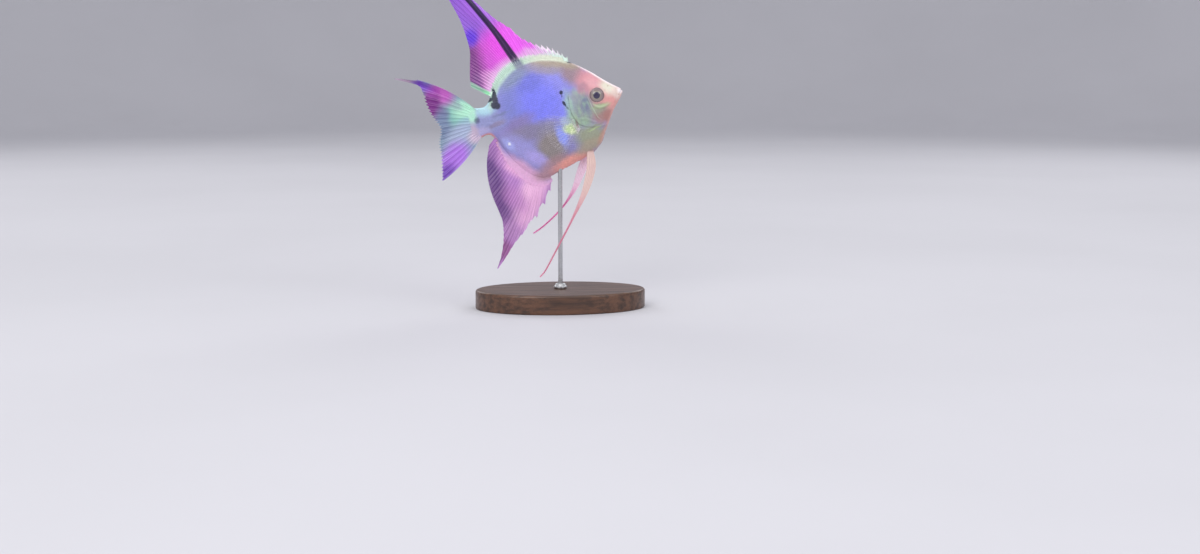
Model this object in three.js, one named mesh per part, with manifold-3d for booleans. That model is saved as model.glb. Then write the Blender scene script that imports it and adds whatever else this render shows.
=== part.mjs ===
// A freshwater angelfish at life size, swimming with its head a little raised, on a plain display stand.
// Millimetres, +Z up. The fish looks along +X, and -Y is its right side. The origin is the middle of the
// stand's underside. The fish is modelled level, about the midpoint of snout and tail root, and then pitched.
import * as THREE from "three";
import { mergeVertices } from "three/addons/utils/BufferGeometryUtils.js";
import Module from "manifold-3d";

const wasm = await Module();
wasm.setup();

// ---------------------------------------------------------------- driving dimensions
const BODY_LENGTH = 85; // snout to tail root
const SNOUT_X = BODY_LENGTH / 2;
const TAIL_ROOT_X = -BODY_LENGTH / 2 - 1.5;
const PITCH = THREE.MathUtils.degToRad(11.5); // head up
const JOINT_GAP = 0.3; // between pieces that meet
const FIN_EDGE = 0.6; // thickness of a fin at its outer edge
const FIN_ROOT = 1.5; // thickness of a middle fin where it leaves the body
const ROOT_DEPTH = 2.2; // how deep a fin's root is set before it is fitted to the body
const FEELER_TIP = [-25.8, -93.6]; // of the longer feeler, the lowest point of the fish

const BASE_LENGTH = 98;
const BASE_WIDTH = 60;
const BASE_HEIGHT = 11;
const BASE_BEVEL = 1.5;
const ROD_RADIUS = 1.3;
const ROD_AHEAD = 5.8; // of the fish's centre
const SOCKET_DEPTH = 8; // of the rod, in the belly and in the base
const FEELER_CLEARANCE = 8; // above the base
const COLLAR_RADIUS = 3.8;
const COLLAR_HEIGHT = 2.8;

const LOWEST = -(FEELER_TIP[0] * Math.sin(PITCH) + FEELER_TIP[1] * Math.cos(PITCH));
const FISH_X = -ROD_AHEAD;
const FISH_Z = BASE_HEIGHT + FEELER_CLEARANCE + LOWEST;

// ---------------------------------------------------------------- smooth lines
// A smooth function of one number through [place, value] pairs in rising order (cubic Hermite spans).
function smooth(points) {
  const slope = points.map((p, i) => {
    const a = points[Math.max(i - 1, 0)];
    const b = points[Math.min(i + 1, points.length - 1)];
    return (b[1] - a[1]) / (b[0] - a[0]);
  });
  return (x) => {
    let i = 0;
    while (i < points.length - 2 && x > points[i + 1][0]) i++;
    const [x0, y0] = points[i];
    const [x1, y1] = points[i + 1];
    const span = x1 - x0;
    const t = THREE.MathUtils.clamp((x - x0) / span, 0, 1);
    const t2 = t * t;
    const t3 = t2 * t;
    return (
      y0 * (2 * t3 - 3 * t2 + 1) +
      y1 * (3 * t2 - 2 * t3) +
      span * (slope[i] * (t3 - 2 * t2 + t) + slope[i + 1] * (t3 - t2))
    );
  };
}

// The same for [place, x, z] triples: a smooth path in the fish's middle plane.
function smoothPath(points) {
  const x = smooth(points.map((p) => [p[0], p[1]]));
  const z = smooth(points.map((p) => [p[0], p[2]]));
  return (u) => [x(u), z(u)];
}

// A path whose places are numbers of fin rays, scaled so that it runs from 0 to 1.
function rayPath(rays, points) {
  return smoothPath(points.map(([ray, x, z]) => [ray / rays, x, z]));
}

// A point beside a path, at a distance across it.
function besidePath(path, u, distance) {
  const [x0, z0] = path(Math.max(u - 0.01, 0));
  const [x1, z1] = path(Math.min(u + 0.01, 1));
  const length = Math.hypot(x1 - x0, z1 - z0);
  const [x, z] = path(u);
  return [x - (distance * (z1 - z0)) / length, z + (distance * (x1 - x0)) / length];
}

function offsetPath(path, distance, steps) {
  return Array.from({ length: steps + 1 }, (_, i) => besidePath(path, i / steps, distance));
}

// ---------------------------------------------------------------- the body's form
const backLine = smooth([
  [-44, 8.1], [-39, 7.1], [-35, 7.9], [-31, 13.6], [-26, 20.3], [-18, 25.6], [-8, 27.6],
  [3, 26.9], [14, 23.2], [24, 16.6], [34, 7.6], [40, 2.9], [42.5, 0.8],
]);
const bellyLine = smooth([
  [-44, -10.4], [-37, -8.9], [-34.3, -11.6], [-28, -24.6], [-20, -35.4], [-11.5, -40.3], [-4, -38.2],
  [8, -34.7], [18, -31.6], [24.5, -27], [29.4, -19.2], [35, -10.2], [40, -4.1], [42.5, -0.9],
]);
// Where a cross-section is widest.
const ridgeLine = smooth([[-44, -1.2], [-20, -3.5], [5, -4], [20, -3], [32, -1.4], [42.5, -0.2]]);
// Half the body's width on the ridge line, and half the width of its rounded back and belly edges.
const halfWidth = smooth([
  [-44, 1.7], [-38, 2.4], [-30, 3.5], [-20, 5.2], [-8, 7], [4, 8], [13, 8.1],
  [22, 7.1], [29, 5.7], [36, 4.1], [40, 2.9], [42.5, 1.7],
]);
const edgeWidth = smooth([[-44, 0.8], [-20, 0.9], [4, 1.3], [16, 1.8], [24, 2.2], [34, 2.3], [40, 1.9], [42.5, 1.1]]);

// Half the thickness of the body at x, at height t: -1 on the belly line, 0 on the ridge, 1 on the back line.
function halfThickness(x, t) {
  const lens = (1 - t * t) ** 0.85;
  const round = Math.sqrt(1 - Math.abs(t) ** 10);
  return edgeWidth(x) * round + (halfWidth(x) - edgeWidth(x)) * lens;
}

// The same at a point (x, z) of the flank.
function flankAt(x, z) {
  const ridge = ridgeLine(x);
  const reach = z > ridge ? backLine(x) - ridge : ridge - bellyLine(x);
  return halfThickness(x, THREE.MathUtils.clamp((z - ridge) / reach, -1, 1));
}

// ---------------------------------------------------------------- meshes and solids
// A closed geometry from points and triangles, turned so that its faces point out.
function closedGeometry(points, triangles) {
  let volume = 0;
  for (const [a, b, c] of triangles)
    volume += points[a].dot(new THREE.Vector3().crossVectors(points[b], points[c]));
  const faces = volume < 0 ? triangles.map(([a, b, c]) => [a, c, b]) : triangles;
  return new THREE.BufferGeometry().setFromPoints(points).setIndex(faces.flat());
}

// Rings of equal length, joined side by side and closed at both ends by a fan about each end's middle.
function loft(rings) {
  const n = rings[0].length;
  const points = rings.flat();
  const triangles = [];
  for (let i = 0; i + 1 < rings.length; i++)
    for (let j = 0; j < n; j++) {
      const a = i * n + j;
      const b = i * n + ((j + 1) % n);
      triangles.push([a, b, b + n], [a, b + n, a + n]);
    }
  for (const [start, flip] of [[0, true], [(rings.length - 1) * n, false]]) {
    const middle = points.slice(start, start + n).reduce((s, p) => s.add(p), new THREE.Vector3());
    points.push(middle.divideScalar(n));
    for (let j = 0; j < n; j++) {
      const a = start + j;
      const b = start + ((j + 1) % n);
      triangles.push(flip ? [points.length - 1, b, a] : [points.length - 1, a, b]);
    }
  }
  return closedGeometry(points, triangles);
}

// A plate between two grids of points, closed round its rim.
function plate(front, back) {
  const rows = front[0].length;
  const last = front.length - 1;
  const points = [...front.flat(), ...back.flat()];
  const triangles = [];
  const quad = (a, b, c, d) => triangles.push([a, b, c], [a, c, d]);
  const f = (i, j) => i * rows + j;
  const b = (i, j) => front.length * rows + f(i, j);
  for (let i = 0; i < last; i++) {
    for (let j = 0; j + 1 < rows; j++) {
      quad(f(i, j), f(i + 1, j), f(i + 1, j + 1), f(i, j + 1));
      quad(b(i, j), b(i, j + 1), b(i + 1, j + 1), b(i + 1, j));
    }
    quad(f(i, 0), b(i, 0), b(i + 1, 0), f(i + 1, 0));
    quad(f(i, rows - 1), f(i + 1, rows - 1), b(i + 1, rows - 1), b(i, rows - 1));
  }
  for (let j = 0; j + 1 < rows; j++) {
    quad(f(0, j), f(0, j + 1), b(0, j + 1), b(0, j));
    quad(f(last, j), b(last, j), b(last, j + 1), f(last, j + 1));
  }
  return closedGeometry(points, triangles);
}

function solid(geometry) {
  const bare = geometry.index ? geometry.toNonIndexed() : geometry.clone();
  bare.deleteAttribute("normal");
  bare.deleteAttribute("uv");
  const merged = mergeVertices(bare, 1e-4);
  return new wasm.Manifold(
    new wasm.Mesh({
      numProp: 3,
      vertProperties: merged.attributes.position.array,
      triVerts: new Uint32Array(merged.index.array),
    }),
  );
}

// The largest single body of a solid, as a three.js geometry.
function largestGeometry(shape) {
  const body = shape.decompose().sort((a, b) => b.volume() - a.volume())[0];
  const mesh = body.getMesh();
  const geometry = new THREE.BufferGeometry();
  geometry.setAttribute("position", new THREE.BufferAttribute(mesh.vertProperties, 3));
  geometry.setIndex(new THREE.BufferAttribute(mesh.triVerts, 1));
  geometry.computeVertexNormals();
  return geometry;
}

// The whole body, grown outwards by a margin, or shrunk by a negative one.
function bodySolid(margin = 0) {
  const STATIONS = 28;
  const HALF_RING = 9;
  const rings = [];
  for (let i = 0; i <= STATIONS; i++) {
    // Stations crowd a little towards the snout, where the form changes fastest.
    const along = 1 - (1 - i / STATIONS) ** 1.3;
    const x = TAIL_ROOT_X - margin + (SNOUT_X - TAIL_ROOT_X + 2 * margin) * along;
    const ring = [];
    for (const side of [1, -1])
      for (let j = 0; j < HALF_RING; j++) {
        const t = side * Math.cos((Math.PI * j) / HALF_RING);
        const ridge = ridgeLine(x);
        const reach = t > 0 ? backLine(x) + margin - ridge : ridge - bellyLine(x) + margin;
        const y = Math.max(halfThickness(x, t) + margin * Math.sqrt(1 - t * t), 0);
        ring.push(new THREE.Vector3(x, -side * y, ridge + t * reach));
      }
    rings.push(ring);
  }
  return solid(loft(rings));
}

// A prism that stands on an outline in the fish's middle plane, from y = low to y = high.
function prism(outline, low = -20, high = 20) {
  const shape = new THREE.Shape(outline.map(([x, z]) => new THREE.Vector2(x, z)));
  const geometry = new THREE.ExtrudeGeometry(shape, { depth: high - low, bevelEnabled: false, steps: 1 });
  geometry.rotateX(Math.PI / 2); // its height now runs along -Y
  geometry.translate(0, high, 0);
  return solid(geometry);
}

// ---------------------------------------------------------------- where the body is parted
// The gill opening runs from the nape round behind the gill cover and forward under the head.
const gillLine = smoothPath([
  [0, 19.5, 31], [0.18, 14.8, 15], [0.36, 11, 3], [0.5, 10.9, -6], [0.64, 14.5, -13.4], [0.8, 23, -16.4], [1, 37, -17],
]);
const GILL_STEPS = 14;
const FAR = 60; // beyond every part of the body
const STALK_CUT_X = -34.2; // where the trunk ends and the tail stalk begins

const body = bodySolid();
const bodyGrown = bodySolid(JOINT_GAP);
const headZone = prism([...offsetPath(gillLine, JOINT_GAP / 2, GILL_STEPS), [FAR, -17], [FAR, 31]]);
const trunkZone = prism([
  ...offsetPath(gillLine, -JOINT_GAP / 2, GILL_STEPS),
  [FAR, -17.2], [FAR, -FAR], [STALK_CUT_X + JOINT_GAP / 2, -FAR], [STALK_CUT_X + JOINT_GAP / 2, FAR], [19, FAR],
]);
const stalkZone = prism([
  [-FAR, -FAR], [STALK_CUT_X - JOINT_GAP / 2, -FAR], [STALK_CUT_X - JOINT_GAP / 2, FAR], [-FAR, FAR],
]);

// ---------------------------------------------------------------- eyes, gill covers and jaws
const EYE = { x: 27.2, z: 1.1, y: 4.5, radius: 5, depth: 2.6 };
function eyeGeometry(side, margin = 0) {
  const ball = new THREE.SphereGeometry(1, 18, 10);
  ball.rotateX(Math.PI / 2);
  ball.scale(EYE.radius + margin, EYE.depth + margin, EYE.radius + margin);
  return ball.translate(EYE.x, side * EYE.y, EYE.z);
}

const COVER_DEPTH = 1.3; // thickness of a gill cover
const COVER_INNER = 0.6; // its nearest distance to the middle plane, under the throat
// A gill cover's front edge runs down the cheek behind the eye, between two places behind the gill opening.
const coverFront = smoothPath([
  [0, 21, -24], [0.2, 24.4, -16.5], [0.5, 23.6, -8.5], [0.75, 21, 0.2], [0.88, 16.5, 5.2], [1, 7, 9.4],
]);
function coverZone(side, margin) {
  const near = COVER_INNER - margin;
  const outline = [...offsetPath(coverFront, -margin, 14), [-5, 9], [-5, -24]];
  return prism(outline, side > 0 ? near : -20, side > 0 ? 20 : -near);
}
const bodyUnderCovers = bodySolid(-COVER_DEPTH);
const bodyInCovers = bodySolid(-COVER_DEPTH - JOINT_GAP);
const gillCover = (side) => body.intersect(headZone).intersect(coverZone(side, 0)).subtract(bodyUnderCovers);
const coverRecess = (side) => coverZone(side, JOINT_GAP).subtract(bodyInCovers);

// The mouth line rises from its corner to the front. Each jaw is the part of the snout on its own side of it,
// ahead of a cut that slants away from the corner.
const MOUTH = { cornerX: 38.7, cornerZ: -2.3, tipX: 45, tipZ: 4 };
function jawZone(up, margin) {
  const across = (margin > 0 ? -0.1 : JOINT_GAP / 2) * up * Math.SQRT1_2;
  const corner = [MOUTH.cornerX - margin - across, MOUTH.cornerZ - margin + across];
  const tip = [MOUTH.tipX - across, MOUTH.tipZ + across];
  return up > 0
    ? prism([corner, tip, [MOUTH.tipX, 9], [37.2 - margin, 9]])
    : prism([corner, [33.6 - margin, -13], [50, -13], tip]);
}

function headShape() {
  let head = body.intersect(headZone);
  for (const side of [1, -1]) {
    head = head.subtract(solid(eyeGeometry(side, JOINT_GAP)));
    head = head.subtract(coverRecess(side));
    head = head.subtract(jawZone(side, JOINT_GAP));
  }
  return head;
}

// ---------------------------------------------------------------- fins
// A fin is a fan of rays from a root line to an edge line, both paths of u from 0 to 1. The edge is notched
// between two rays, by a depth of notch(u). bow bends the rays within the fin, and sway(u, v) carries the fin
// sideways.
function fan({ root, edge, rays, notch, bow = () => 0, sway = () => 0, rows = 4, thick }) {
  const front = [];
  const back = [];
  for (let i = 0; i <= 2 * rays; i++) {
    const u = i / (2 * rays);
    const [x0, z0] = root(u);
    const [x1, z1] = edge(u);
    const reach = i % 2 ? 1 - notch(u) / Math.hypot(x1 - x0, z1 - z0) : 1;
    const near = [];
    const far = [];
    for (let j = 0; j <= rows; j++) {
      const v = (reach * j) / rows;
      const bend = 4 * bow(u) * v * (1 - v);
      const x = x0 + (x1 - x0) * v - bend * (z1 - z0);
      const z = z0 + (z1 - z0) * v + bend * (x1 - x0);
      const half = thick(v) / 2;
      near.push(new THREE.Vector3(x, sway(u, v) - half, z));
      far.push(new THREE.Vector3(x, sway(u, v) + half, z));
    }
    front.push(near);
    back.push(far);
  }
  return plate(front, back);
}
const taperedFrom = (root, power) => (v) => FIN_EDGE + (root - FIN_EDGE) * (1 - v) ** power;

// A root line set ROOT_DEPTH inside the back or belly. places are [ray, x] pairs along the body.
function rootAlong(line, inward, rays, places) {
  const at = smooth(places.map(([ray, x]) => [ray / rays, x]));
  return (u) => {
    const x = at(u);
    const rise = line(x + 0.5) - line(x - 0.5);
    const length = Math.hypot(1, rise);
    return [x - (inward * ROOT_DEPTH * rise) / length, line(x) + (inward * ROOT_DEPTH) / length];
  };
}

// Spines carry the front of the back fin and leave its edge toothed. Soft rays carry the tall part behind.
const BACK_RAYS = 36;
const backFin = {
  rays: BACK_RAYS,
  root: rootAlong(backLine, -1, BACK_RAYS, [[0, 16.2], [6, 2.6], [12, -12.4], [20, -19], [28, -25.4], [36, -32]]),
  edge: rayPath(BACK_RAYS, [
    [0, 15.4, 25.6], [1, 12.7, 28], [2, 10.4, 30.2], [4, 5.1, 33.8], [6, -0.9, 36.4], [8, -6.5, 39.9],
    [9, -9.6, 42.8], [10, -12.9, 47.6], [11, -17, 51.4], [12, -21.6, 56], [13, -29.2, 66], [14, -43.8, 86],
    [15, -47.9, 84.6], [16, -45.6, 75.5], [17, -42.8, 68], [19, -39.8, 58], [22, -38.3, 48], [26, -38, 39.4],
    [30, -39.6, 32], [34, -41.2, 24.4], [36, -41.6, 19.4],
  ]),
  notch: smooth([[0, 2.2], [0.08, 2.6], [0.2, 1.7], [0.3, 1], [0.36, 0.6], [1, 0.6]]),
  bow: (u) => -0.03 * Math.sin(Math.PI * u),
  sway: (u, v) => 5 * v * v * Math.sin(Math.PI * Math.min(1, 1.25 * u)),
  thick: taperedFrom(FIN_ROOT, 2),
};
const ANAL_RAYS = 32;
const analFin = {
  rays: ANAL_RAYS,
  root: rootAlong(bellyLine, 1, ANAL_RAYS, [[0, -6.2], [6, -13.6], [14, -20.4], [23, -28], [32, -34.6]]),
  edge: rayPath(ANAL_RAYS, [
    [0, -8.2, -43.6], [1, -9.8, -47], [2, -12.2, -51], [3, -14.8, -54], [4, -17.8, -57.2], [5, -20.8, -60],
    [6, -24, -63], [7, -29.4, -66.4], [8, -36, -72.6], [9, -42.4, -79.2], [10, -48.8, -85], [11, -45.4, -78.8],
    [12, -42.2, -70.6], [14, -40.3, -60.4], [17, -40.9, -53.6], [21, -42.8, -43.6], [25, -43.3, -34],
    [29, -41.8, -23.8], [32, -38.6, -15],
  ]),
  notch: smooth([[0, 1.6], [0.15, 2], [0.25, 1.2], [0.35, 0.8], [1, 0.8]]),
  bow: (u) => 0.035 * Math.sin(Math.PI * u),
  sway: (u, v) => -4 * v * v * Math.sin(Math.PI * Math.min(1, 1.3 * u)),
  thick: taperedFrom(FIN_ROOT, 2),
};
// The tail's second ray runs on as a long thread.
const TAIL_RAYS = 17;
const tailFin = {
  rays: TAIL_RAYS,
  root: smoothPath([[0, -41.6, 6.6], [0.5, -41.6, -1.3], [1, -41.6, -9.2]]),
  edge: rayPath(TAIL_RAYS, [
    [0, -70.6, 29.6], [0.5, -70.4, 28.6], [1, -83, 32.6], [1.5, -71, 27.2], [2, -69.2, 24], [4, -68.7, 16],
    [6, -66.9, 8.2], [8, -64, 1.6], [9, -64.2, -1.8], [11, -66.2, -7.6], [13, -66.6, -14.6], [15, -67.7, -22.4],
    [17, -69, -29.2],
  ]),
  notch: smooth([[0, 0], [0.1, 0], [0.15, 1.8], [1, 1.6]]),
  bow: (u) => -0.12 * (0.5 - u) * Math.abs(2 * u - 1),
  sway: (u, v) => -4.5 * v * v,
  rows: 3,
  thick: taperedFrom(2.2, 3),
};

// A feeler is a long narrow fin that follows a line in the middle plane and spreads to one side.
const feelerWidth = smooth([[0, 3.6], [0.1, 5], [0.2, 4.9], [0.3, 4.1], [0.4, 2.8], [0.5, 1.6], [0.58, 1.1], [1, 0.8]]);
const feelerLines = {
  right: smoothPath([
    [0, 17.4, -29.4], [0.16, 15.6, -39.4], [0.34, 9.4, -51.4], [0.54, -0.4, -64.6], [0.78, -13.4, -80.4],
    [0.95, -22.4, -91], [1, ...FEELER_TIP],
  ]),
  left: smoothPath([
    [0, 16.8, -29.8], [0.2, 11, -39.6], [0.42, 4.2, -50.4], [0.64, -5, -59.6], [0.86, -16.6, -67.2], [1, -23.6, -70.4],
  ]),
};
function feeler(line, side) {
  const STEPS = 17;
  const sheets = [-1, 1].map((face) =>
    [-0.5, 0, 0.5].map((across) =>
      Array.from({ length: STEPS + 1 }, (_, j) => {
        const u = j / STEPS;
        const [x, z] = besidePath(line, u, across * feelerWidth(u));
        const spread = 2.3 + 8.5 * u ** 0.8 * (1 - 0.25 * u);
        const half = 0.35 + 0.45 * (1 - u) ** 3;
        return new THREE.Vector3(x, side * spread + face * half, z);
      }),
    ),
  );
  return plate(...sheets);
}

// A breast fin is a small clear fan set on the flank behind the gill cover and folded back along it.
const BREAST = { x: 12, z: -13.1, root: 6.4, length: 20, spread: 0.56, out: 22, down: 12 };
function breastFin(side) {
  const half = BREAST.root / 2;
  const geometry = fan({
    root: (u) => [1.6, half * (1 - 2 * u)],
    edge: (u) => {
      const angle = BREAST.spread * (1 - 2 * u);
      const reach = BREAST.length * (0.72 + 0.28 * Math.sin(Math.PI * (0.14 + 0.76 * u)));
      return [-reach * Math.cos(angle), half * (1 - 2 * u) + reach * Math.sin(angle)];
    },
    rays: 8,
    notch: () => 0.5,
    rows: 2,
    thick: taperedFrom(1.1, 2),
  });
  geometry.rotateZ(THREE.MathUtils.degToRad(-side * BREAST.out));
  geometry.rotateY(THREE.MathUtils.degToRad(-BREAST.down));
  return geometry.translate(BREAST.x, side * (flankAt(BREAST.x, BREAST.z) - 0.2), BREAST.z);
}

// ---------------------------------------------------------------- placing the fish and its stand
const fish = new THREE.Group();
fish.rotation.y = -PITCH;
fish.position.set(FISH_X, 0, FISH_Z);
fish.updateMatrixWorld(true);
const toFish = fish.matrixWorld.clone().invert();

// The height of the belly above the middle of the base, once the fish is pitched.
function bellyHeight() {
  const STEPS = 200;
  const heights = Array.from({ length: STEPS }, (_, i) => {
    const x = -10 + (30 * i) / STEPS;
    return new THREE.Vector3(x, 0, bellyLine(x)).applyMatrix4(fish.matrixWorld);
  });
  return heights.sort((a, b) => Math.abs(a.x) - Math.abs(b.x))[0].z;
}
const ROD_TOP = bellyHeight() + SOCKET_DEPTH;
const ROD_FOOT = BASE_HEIGHT - SOCKET_DEPTH;

function uprightCylinder(radius, low, high) {
  const geometry = new THREE.CylinderGeometry(radius, radius, high - low, 24);
  geometry.rotateX(Math.PI / 2);
  return geometry.translate(0, 0, (low + high) / 2);
}
const rodSocket = uprightCylinder(ROD_RADIUS + JOINT_GAP, ROD_FOOT - JOINT_GAP, ROD_TOP + JOINT_GAP);
const socketInFish = solid(rodSocket.clone().applyMatrix4(toFish));

function standBase() {
  const outline = new THREE.Shape();
  outline.absellipse(0, 0, BASE_LENGTH / 2 - BASE_BEVEL, BASE_WIDTH / 2 - BASE_BEVEL, 0, 2 * Math.PI, false, 0);
  const slab = new THREE.ExtrudeGeometry(outline, {
    depth: BASE_HEIGHT - 2 * BASE_BEVEL,
    curveSegments: 30,
    bevelSize: BASE_BEVEL,
    bevelThickness: BASE_BEVEL,
    bevelSegments: 1,
  });
  slab.translate(0, 0, BASE_BEVEL);
  return solid(slab).subtract(solid(rodSocket));
}

function standCollar() {
  const inner = ROD_RADIUS + JOINT_GAP;
  const profile = [
    [inner, 0], [COLLAR_RADIUS, 0], [COLLAR_RADIUS, 0.45 * COLLAR_HEIGHT],
    [0.72 * COLLAR_RADIUS, COLLAR_HEIGHT], [inner, COLLAR_HEIGHT], [inner, 0],
  ];
  const ring = new THREE.LatheGeometry(profile.map(([r, h]) => new THREE.Vector2(r, h)), 20);
  ring.rotateX(Math.PI / 2);
  return ring.translate(0, 0, BASE_HEIGHT + JOINT_GAP);
}

// ---------------------------------------------------------------- materials and the finished group
const finish = (color, roughness, metalness = 0) => new THREE.MeshStandardMaterial({ color, roughness, metalness });
const pearlSkin = finish(0xb9b6dc, 0.35);
const peachSkin = finish(0xe8b7a2, 0.4);
const gillSkin = finish(0xa9bd96, 0.3);
const eyeGlass = finish(0x2a2733, 0.08);
const roseFin = finish(0xe27bd8, 0.45);
const violetFin = finish(0xb98ad6, 0.45);
const clearFin = finish(0xe9e2e6, 0.3);
const feelerFin = finish(0xeeb9cf, 0.4);
const walnut = finish(0x4a2f1e, 0.45);
const steel = finish(0xc9c9c6, 0.3, 1);

function add(group, name, geometry, material) {
  const mesh = new THREE.Mesh(geometry, material);
  mesh.name = name;
  group.add(mesh);
}
const fitted = (geometry) => largestGeometry(solid(geometry).subtract(bodyGrown));

add(fish, "head", largestGeometry(headShape()), peachSkin);
add(fish, "trunk", largestGeometry(body.intersect(trunkZone).subtract(socketInFish)), pearlSkin);
add(fish, "tail_stalk", largestGeometry(body.intersect(stalkZone)), pearlSkin);
add(fish, "upper_jaw", largestGeometry(body.intersect(jawZone(1, 0))), peachSkin);
add(fish, "lower_jaw", largestGeometry(body.intersect(jawZone(-1, 0))), peachSkin);
for (const [word, side] of [["right", -1], ["left", 1]]) {
  add(fish, `eye_${word}`, eyeGeometry(side), eyeGlass);
  add(fish, `gill_cover_${word}`, largestGeometry(gillCover(side)), gillSkin);
  add(fish, `ventral_fin_${word}`, fitted(feeler(feelerLines[word], side)), feelerFin);
  add(fish, `pectoral_fin_${word}`, fitted(breastFin(side)), clearFin);
}
add(fish, "dorsal_fin", fitted(fan(backFin)), roseFin);
add(fish, "anal_fin", fitted(fan(analFin)), violetFin);
add(fish, "caudal_fin", fitted(fan(tailFin)), violetFin);

const model = new THREE.Group();
model.add(fish);
add(model, "stand_base", largestGeometry(standBase()), walnut);
add(model, "stand_rod", uprightCylinder(ROD_RADIUS, ROD_FOOT, ROD_TOP), steel);
add(model, "stand_collar", standCollar(), steel);

export default model;
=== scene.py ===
"""A still, life-size freshwater angelfish on a plain display stand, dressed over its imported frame.

The fish is worked out level, in millimetres, about the midpoint of its snout and tail root: x forward, z up,
y to its left. place() then pitches it and sets it where the frame holds it, in metres.
"""
import math

import bpy
import numpy as np
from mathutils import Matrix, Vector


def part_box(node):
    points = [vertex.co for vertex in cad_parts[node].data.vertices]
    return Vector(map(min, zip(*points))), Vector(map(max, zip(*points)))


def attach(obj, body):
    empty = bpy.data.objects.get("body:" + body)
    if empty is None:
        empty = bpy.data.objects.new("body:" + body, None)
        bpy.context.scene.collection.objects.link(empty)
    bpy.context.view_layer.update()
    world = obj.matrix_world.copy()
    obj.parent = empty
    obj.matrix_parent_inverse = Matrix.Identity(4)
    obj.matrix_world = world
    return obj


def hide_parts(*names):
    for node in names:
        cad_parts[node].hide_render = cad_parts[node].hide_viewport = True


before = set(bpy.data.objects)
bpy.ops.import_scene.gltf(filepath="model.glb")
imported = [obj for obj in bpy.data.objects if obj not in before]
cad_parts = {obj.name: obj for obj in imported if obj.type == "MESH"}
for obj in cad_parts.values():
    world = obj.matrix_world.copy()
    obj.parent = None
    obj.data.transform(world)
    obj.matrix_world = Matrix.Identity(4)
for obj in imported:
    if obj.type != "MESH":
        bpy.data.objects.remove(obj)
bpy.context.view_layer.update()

bl_info = {
    "name": "Angelfish on a Stand",
    "version": (1, 0, 0),
    "blender": (4, 5, 0),
    "location": "View3D > Sidebar > Angelfish",
    "description": "Skin, scales, eyes, fins and display stand of a life-size freshwater angelfish",
    "category": "Object",
}

MM = 0.001

# ---------------------------------------------------------------- driving sizes, in millimetres
BODY_LENGTH = 85
SNOUT_X = BODY_LENGTH / 2
SKIN_END_X = -46.8  # the body thins out here, inside the tail fin
PITCH = math.radians(11.5)
ROOT_DEPTH = 2.2  # how deep the middle fins' roots are set in the body
EYE_NODE = (27.2, 1.1)  # the middle of the frame's eyes, x and z
EYE = {"x": 26.8, "y": 4.5, "z": 0.8, "radius": 5.0, "depth": 2.5, "seen": 3.75, "pupil": 1.9}
SCALE_SEED = 20


# ---------------------------------------------------------------- smooth lines
def smooth(points):
    """A smooth function through (place, value) pairs in rising order, level outside them. Each span is a
    cubic Hermite curve, and the slope at a point is that of the line between its two neighbours."""
    at, value = np.array(points, float).T
    before = np.r_[0, np.arange(len(at) - 1)]
    after = np.r_[np.arange(1, len(at)), len(at) - 1]
    slope = (value[after] - value[before]) / (at[after] - at[before])

    def line(x):
        x = np.clip(x, at[0], at[-1])
        i = np.clip(np.searchsorted(at, x, side="right") - 1, 0, len(at) - 2)
        span = at[i + 1] - at[i]
        t = (x - at[i]) / span
        rest = value[i] * (2 * t**3 - 3 * t**2 + 1) + value[i + 1] * (3 * t**2 - 2 * t**3)
        return rest + span * (slope[i] * (t**3 - 2 * t**2 + t) + slope[i + 1] * (t**3 - t**2))

    return line


def smooth_path(points):
    """A smooth path in the fish's middle plane through (place, x, z) triples: a function of the place."""
    x = smooth([(p[0], p[1]) for p in points])
    z = smooth([(p[0], p[2]) for p in points])
    return lambda u: (x(u), z(u))


def ray_path(rays, points):
    """The same, where places are numbers of fin rays, scaled so that they run from 0 to 1."""
    return smooth_path([(ray / rays, x, z) for ray, x, z in points])


def even_path(*points):
    """A smooth path through (x, z) points whose places are spread evenly from 0 to 1."""
    return smooth_path([(i / (len(points) - 1), *point) for i, point in enumerate(points)])


def beside(path, x, z):
    """How far points lie to the left of a path, in millimetres, and the place along it that is nearest. The
    nearest of 96 samples is found, and the distance is measured square to the path's direction there."""
    u = np.linspace(0, 1, 96)
    px, pz = path(u)
    near = np.argmin((x[..., None] - px) ** 2 + (z[..., None] - pz) ** 2, -1)
    tx, tz = np.gradient(px)[near], np.gradient(pz)[near]
    dx, dz = x - px[near], z - pz[near]
    length = np.hypot(tx, tz)
    along = (dx * tx + dz * tz) / length**2
    return (dz * tx - dx * tz) / length, np.clip(u[near] + along / 95, 0, 1)


def ramp(x, low, high):
    """0 up to low, 1 from high on, and a smooth S between them."""
    t = np.clip((x - low) / (high - low), 0, 1)
    return t * t * (3 - 2 * t)


def fall(x, low, high):
    """The same the other way: 1 up to low, and 0 from high on."""
    return 1 - ramp(x, low, high)


def bump(distance, width):
    """A bell curve: 1 at no distance, falling to a third at width."""
    return np.exp(-((distance / width) ** 2))


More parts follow.
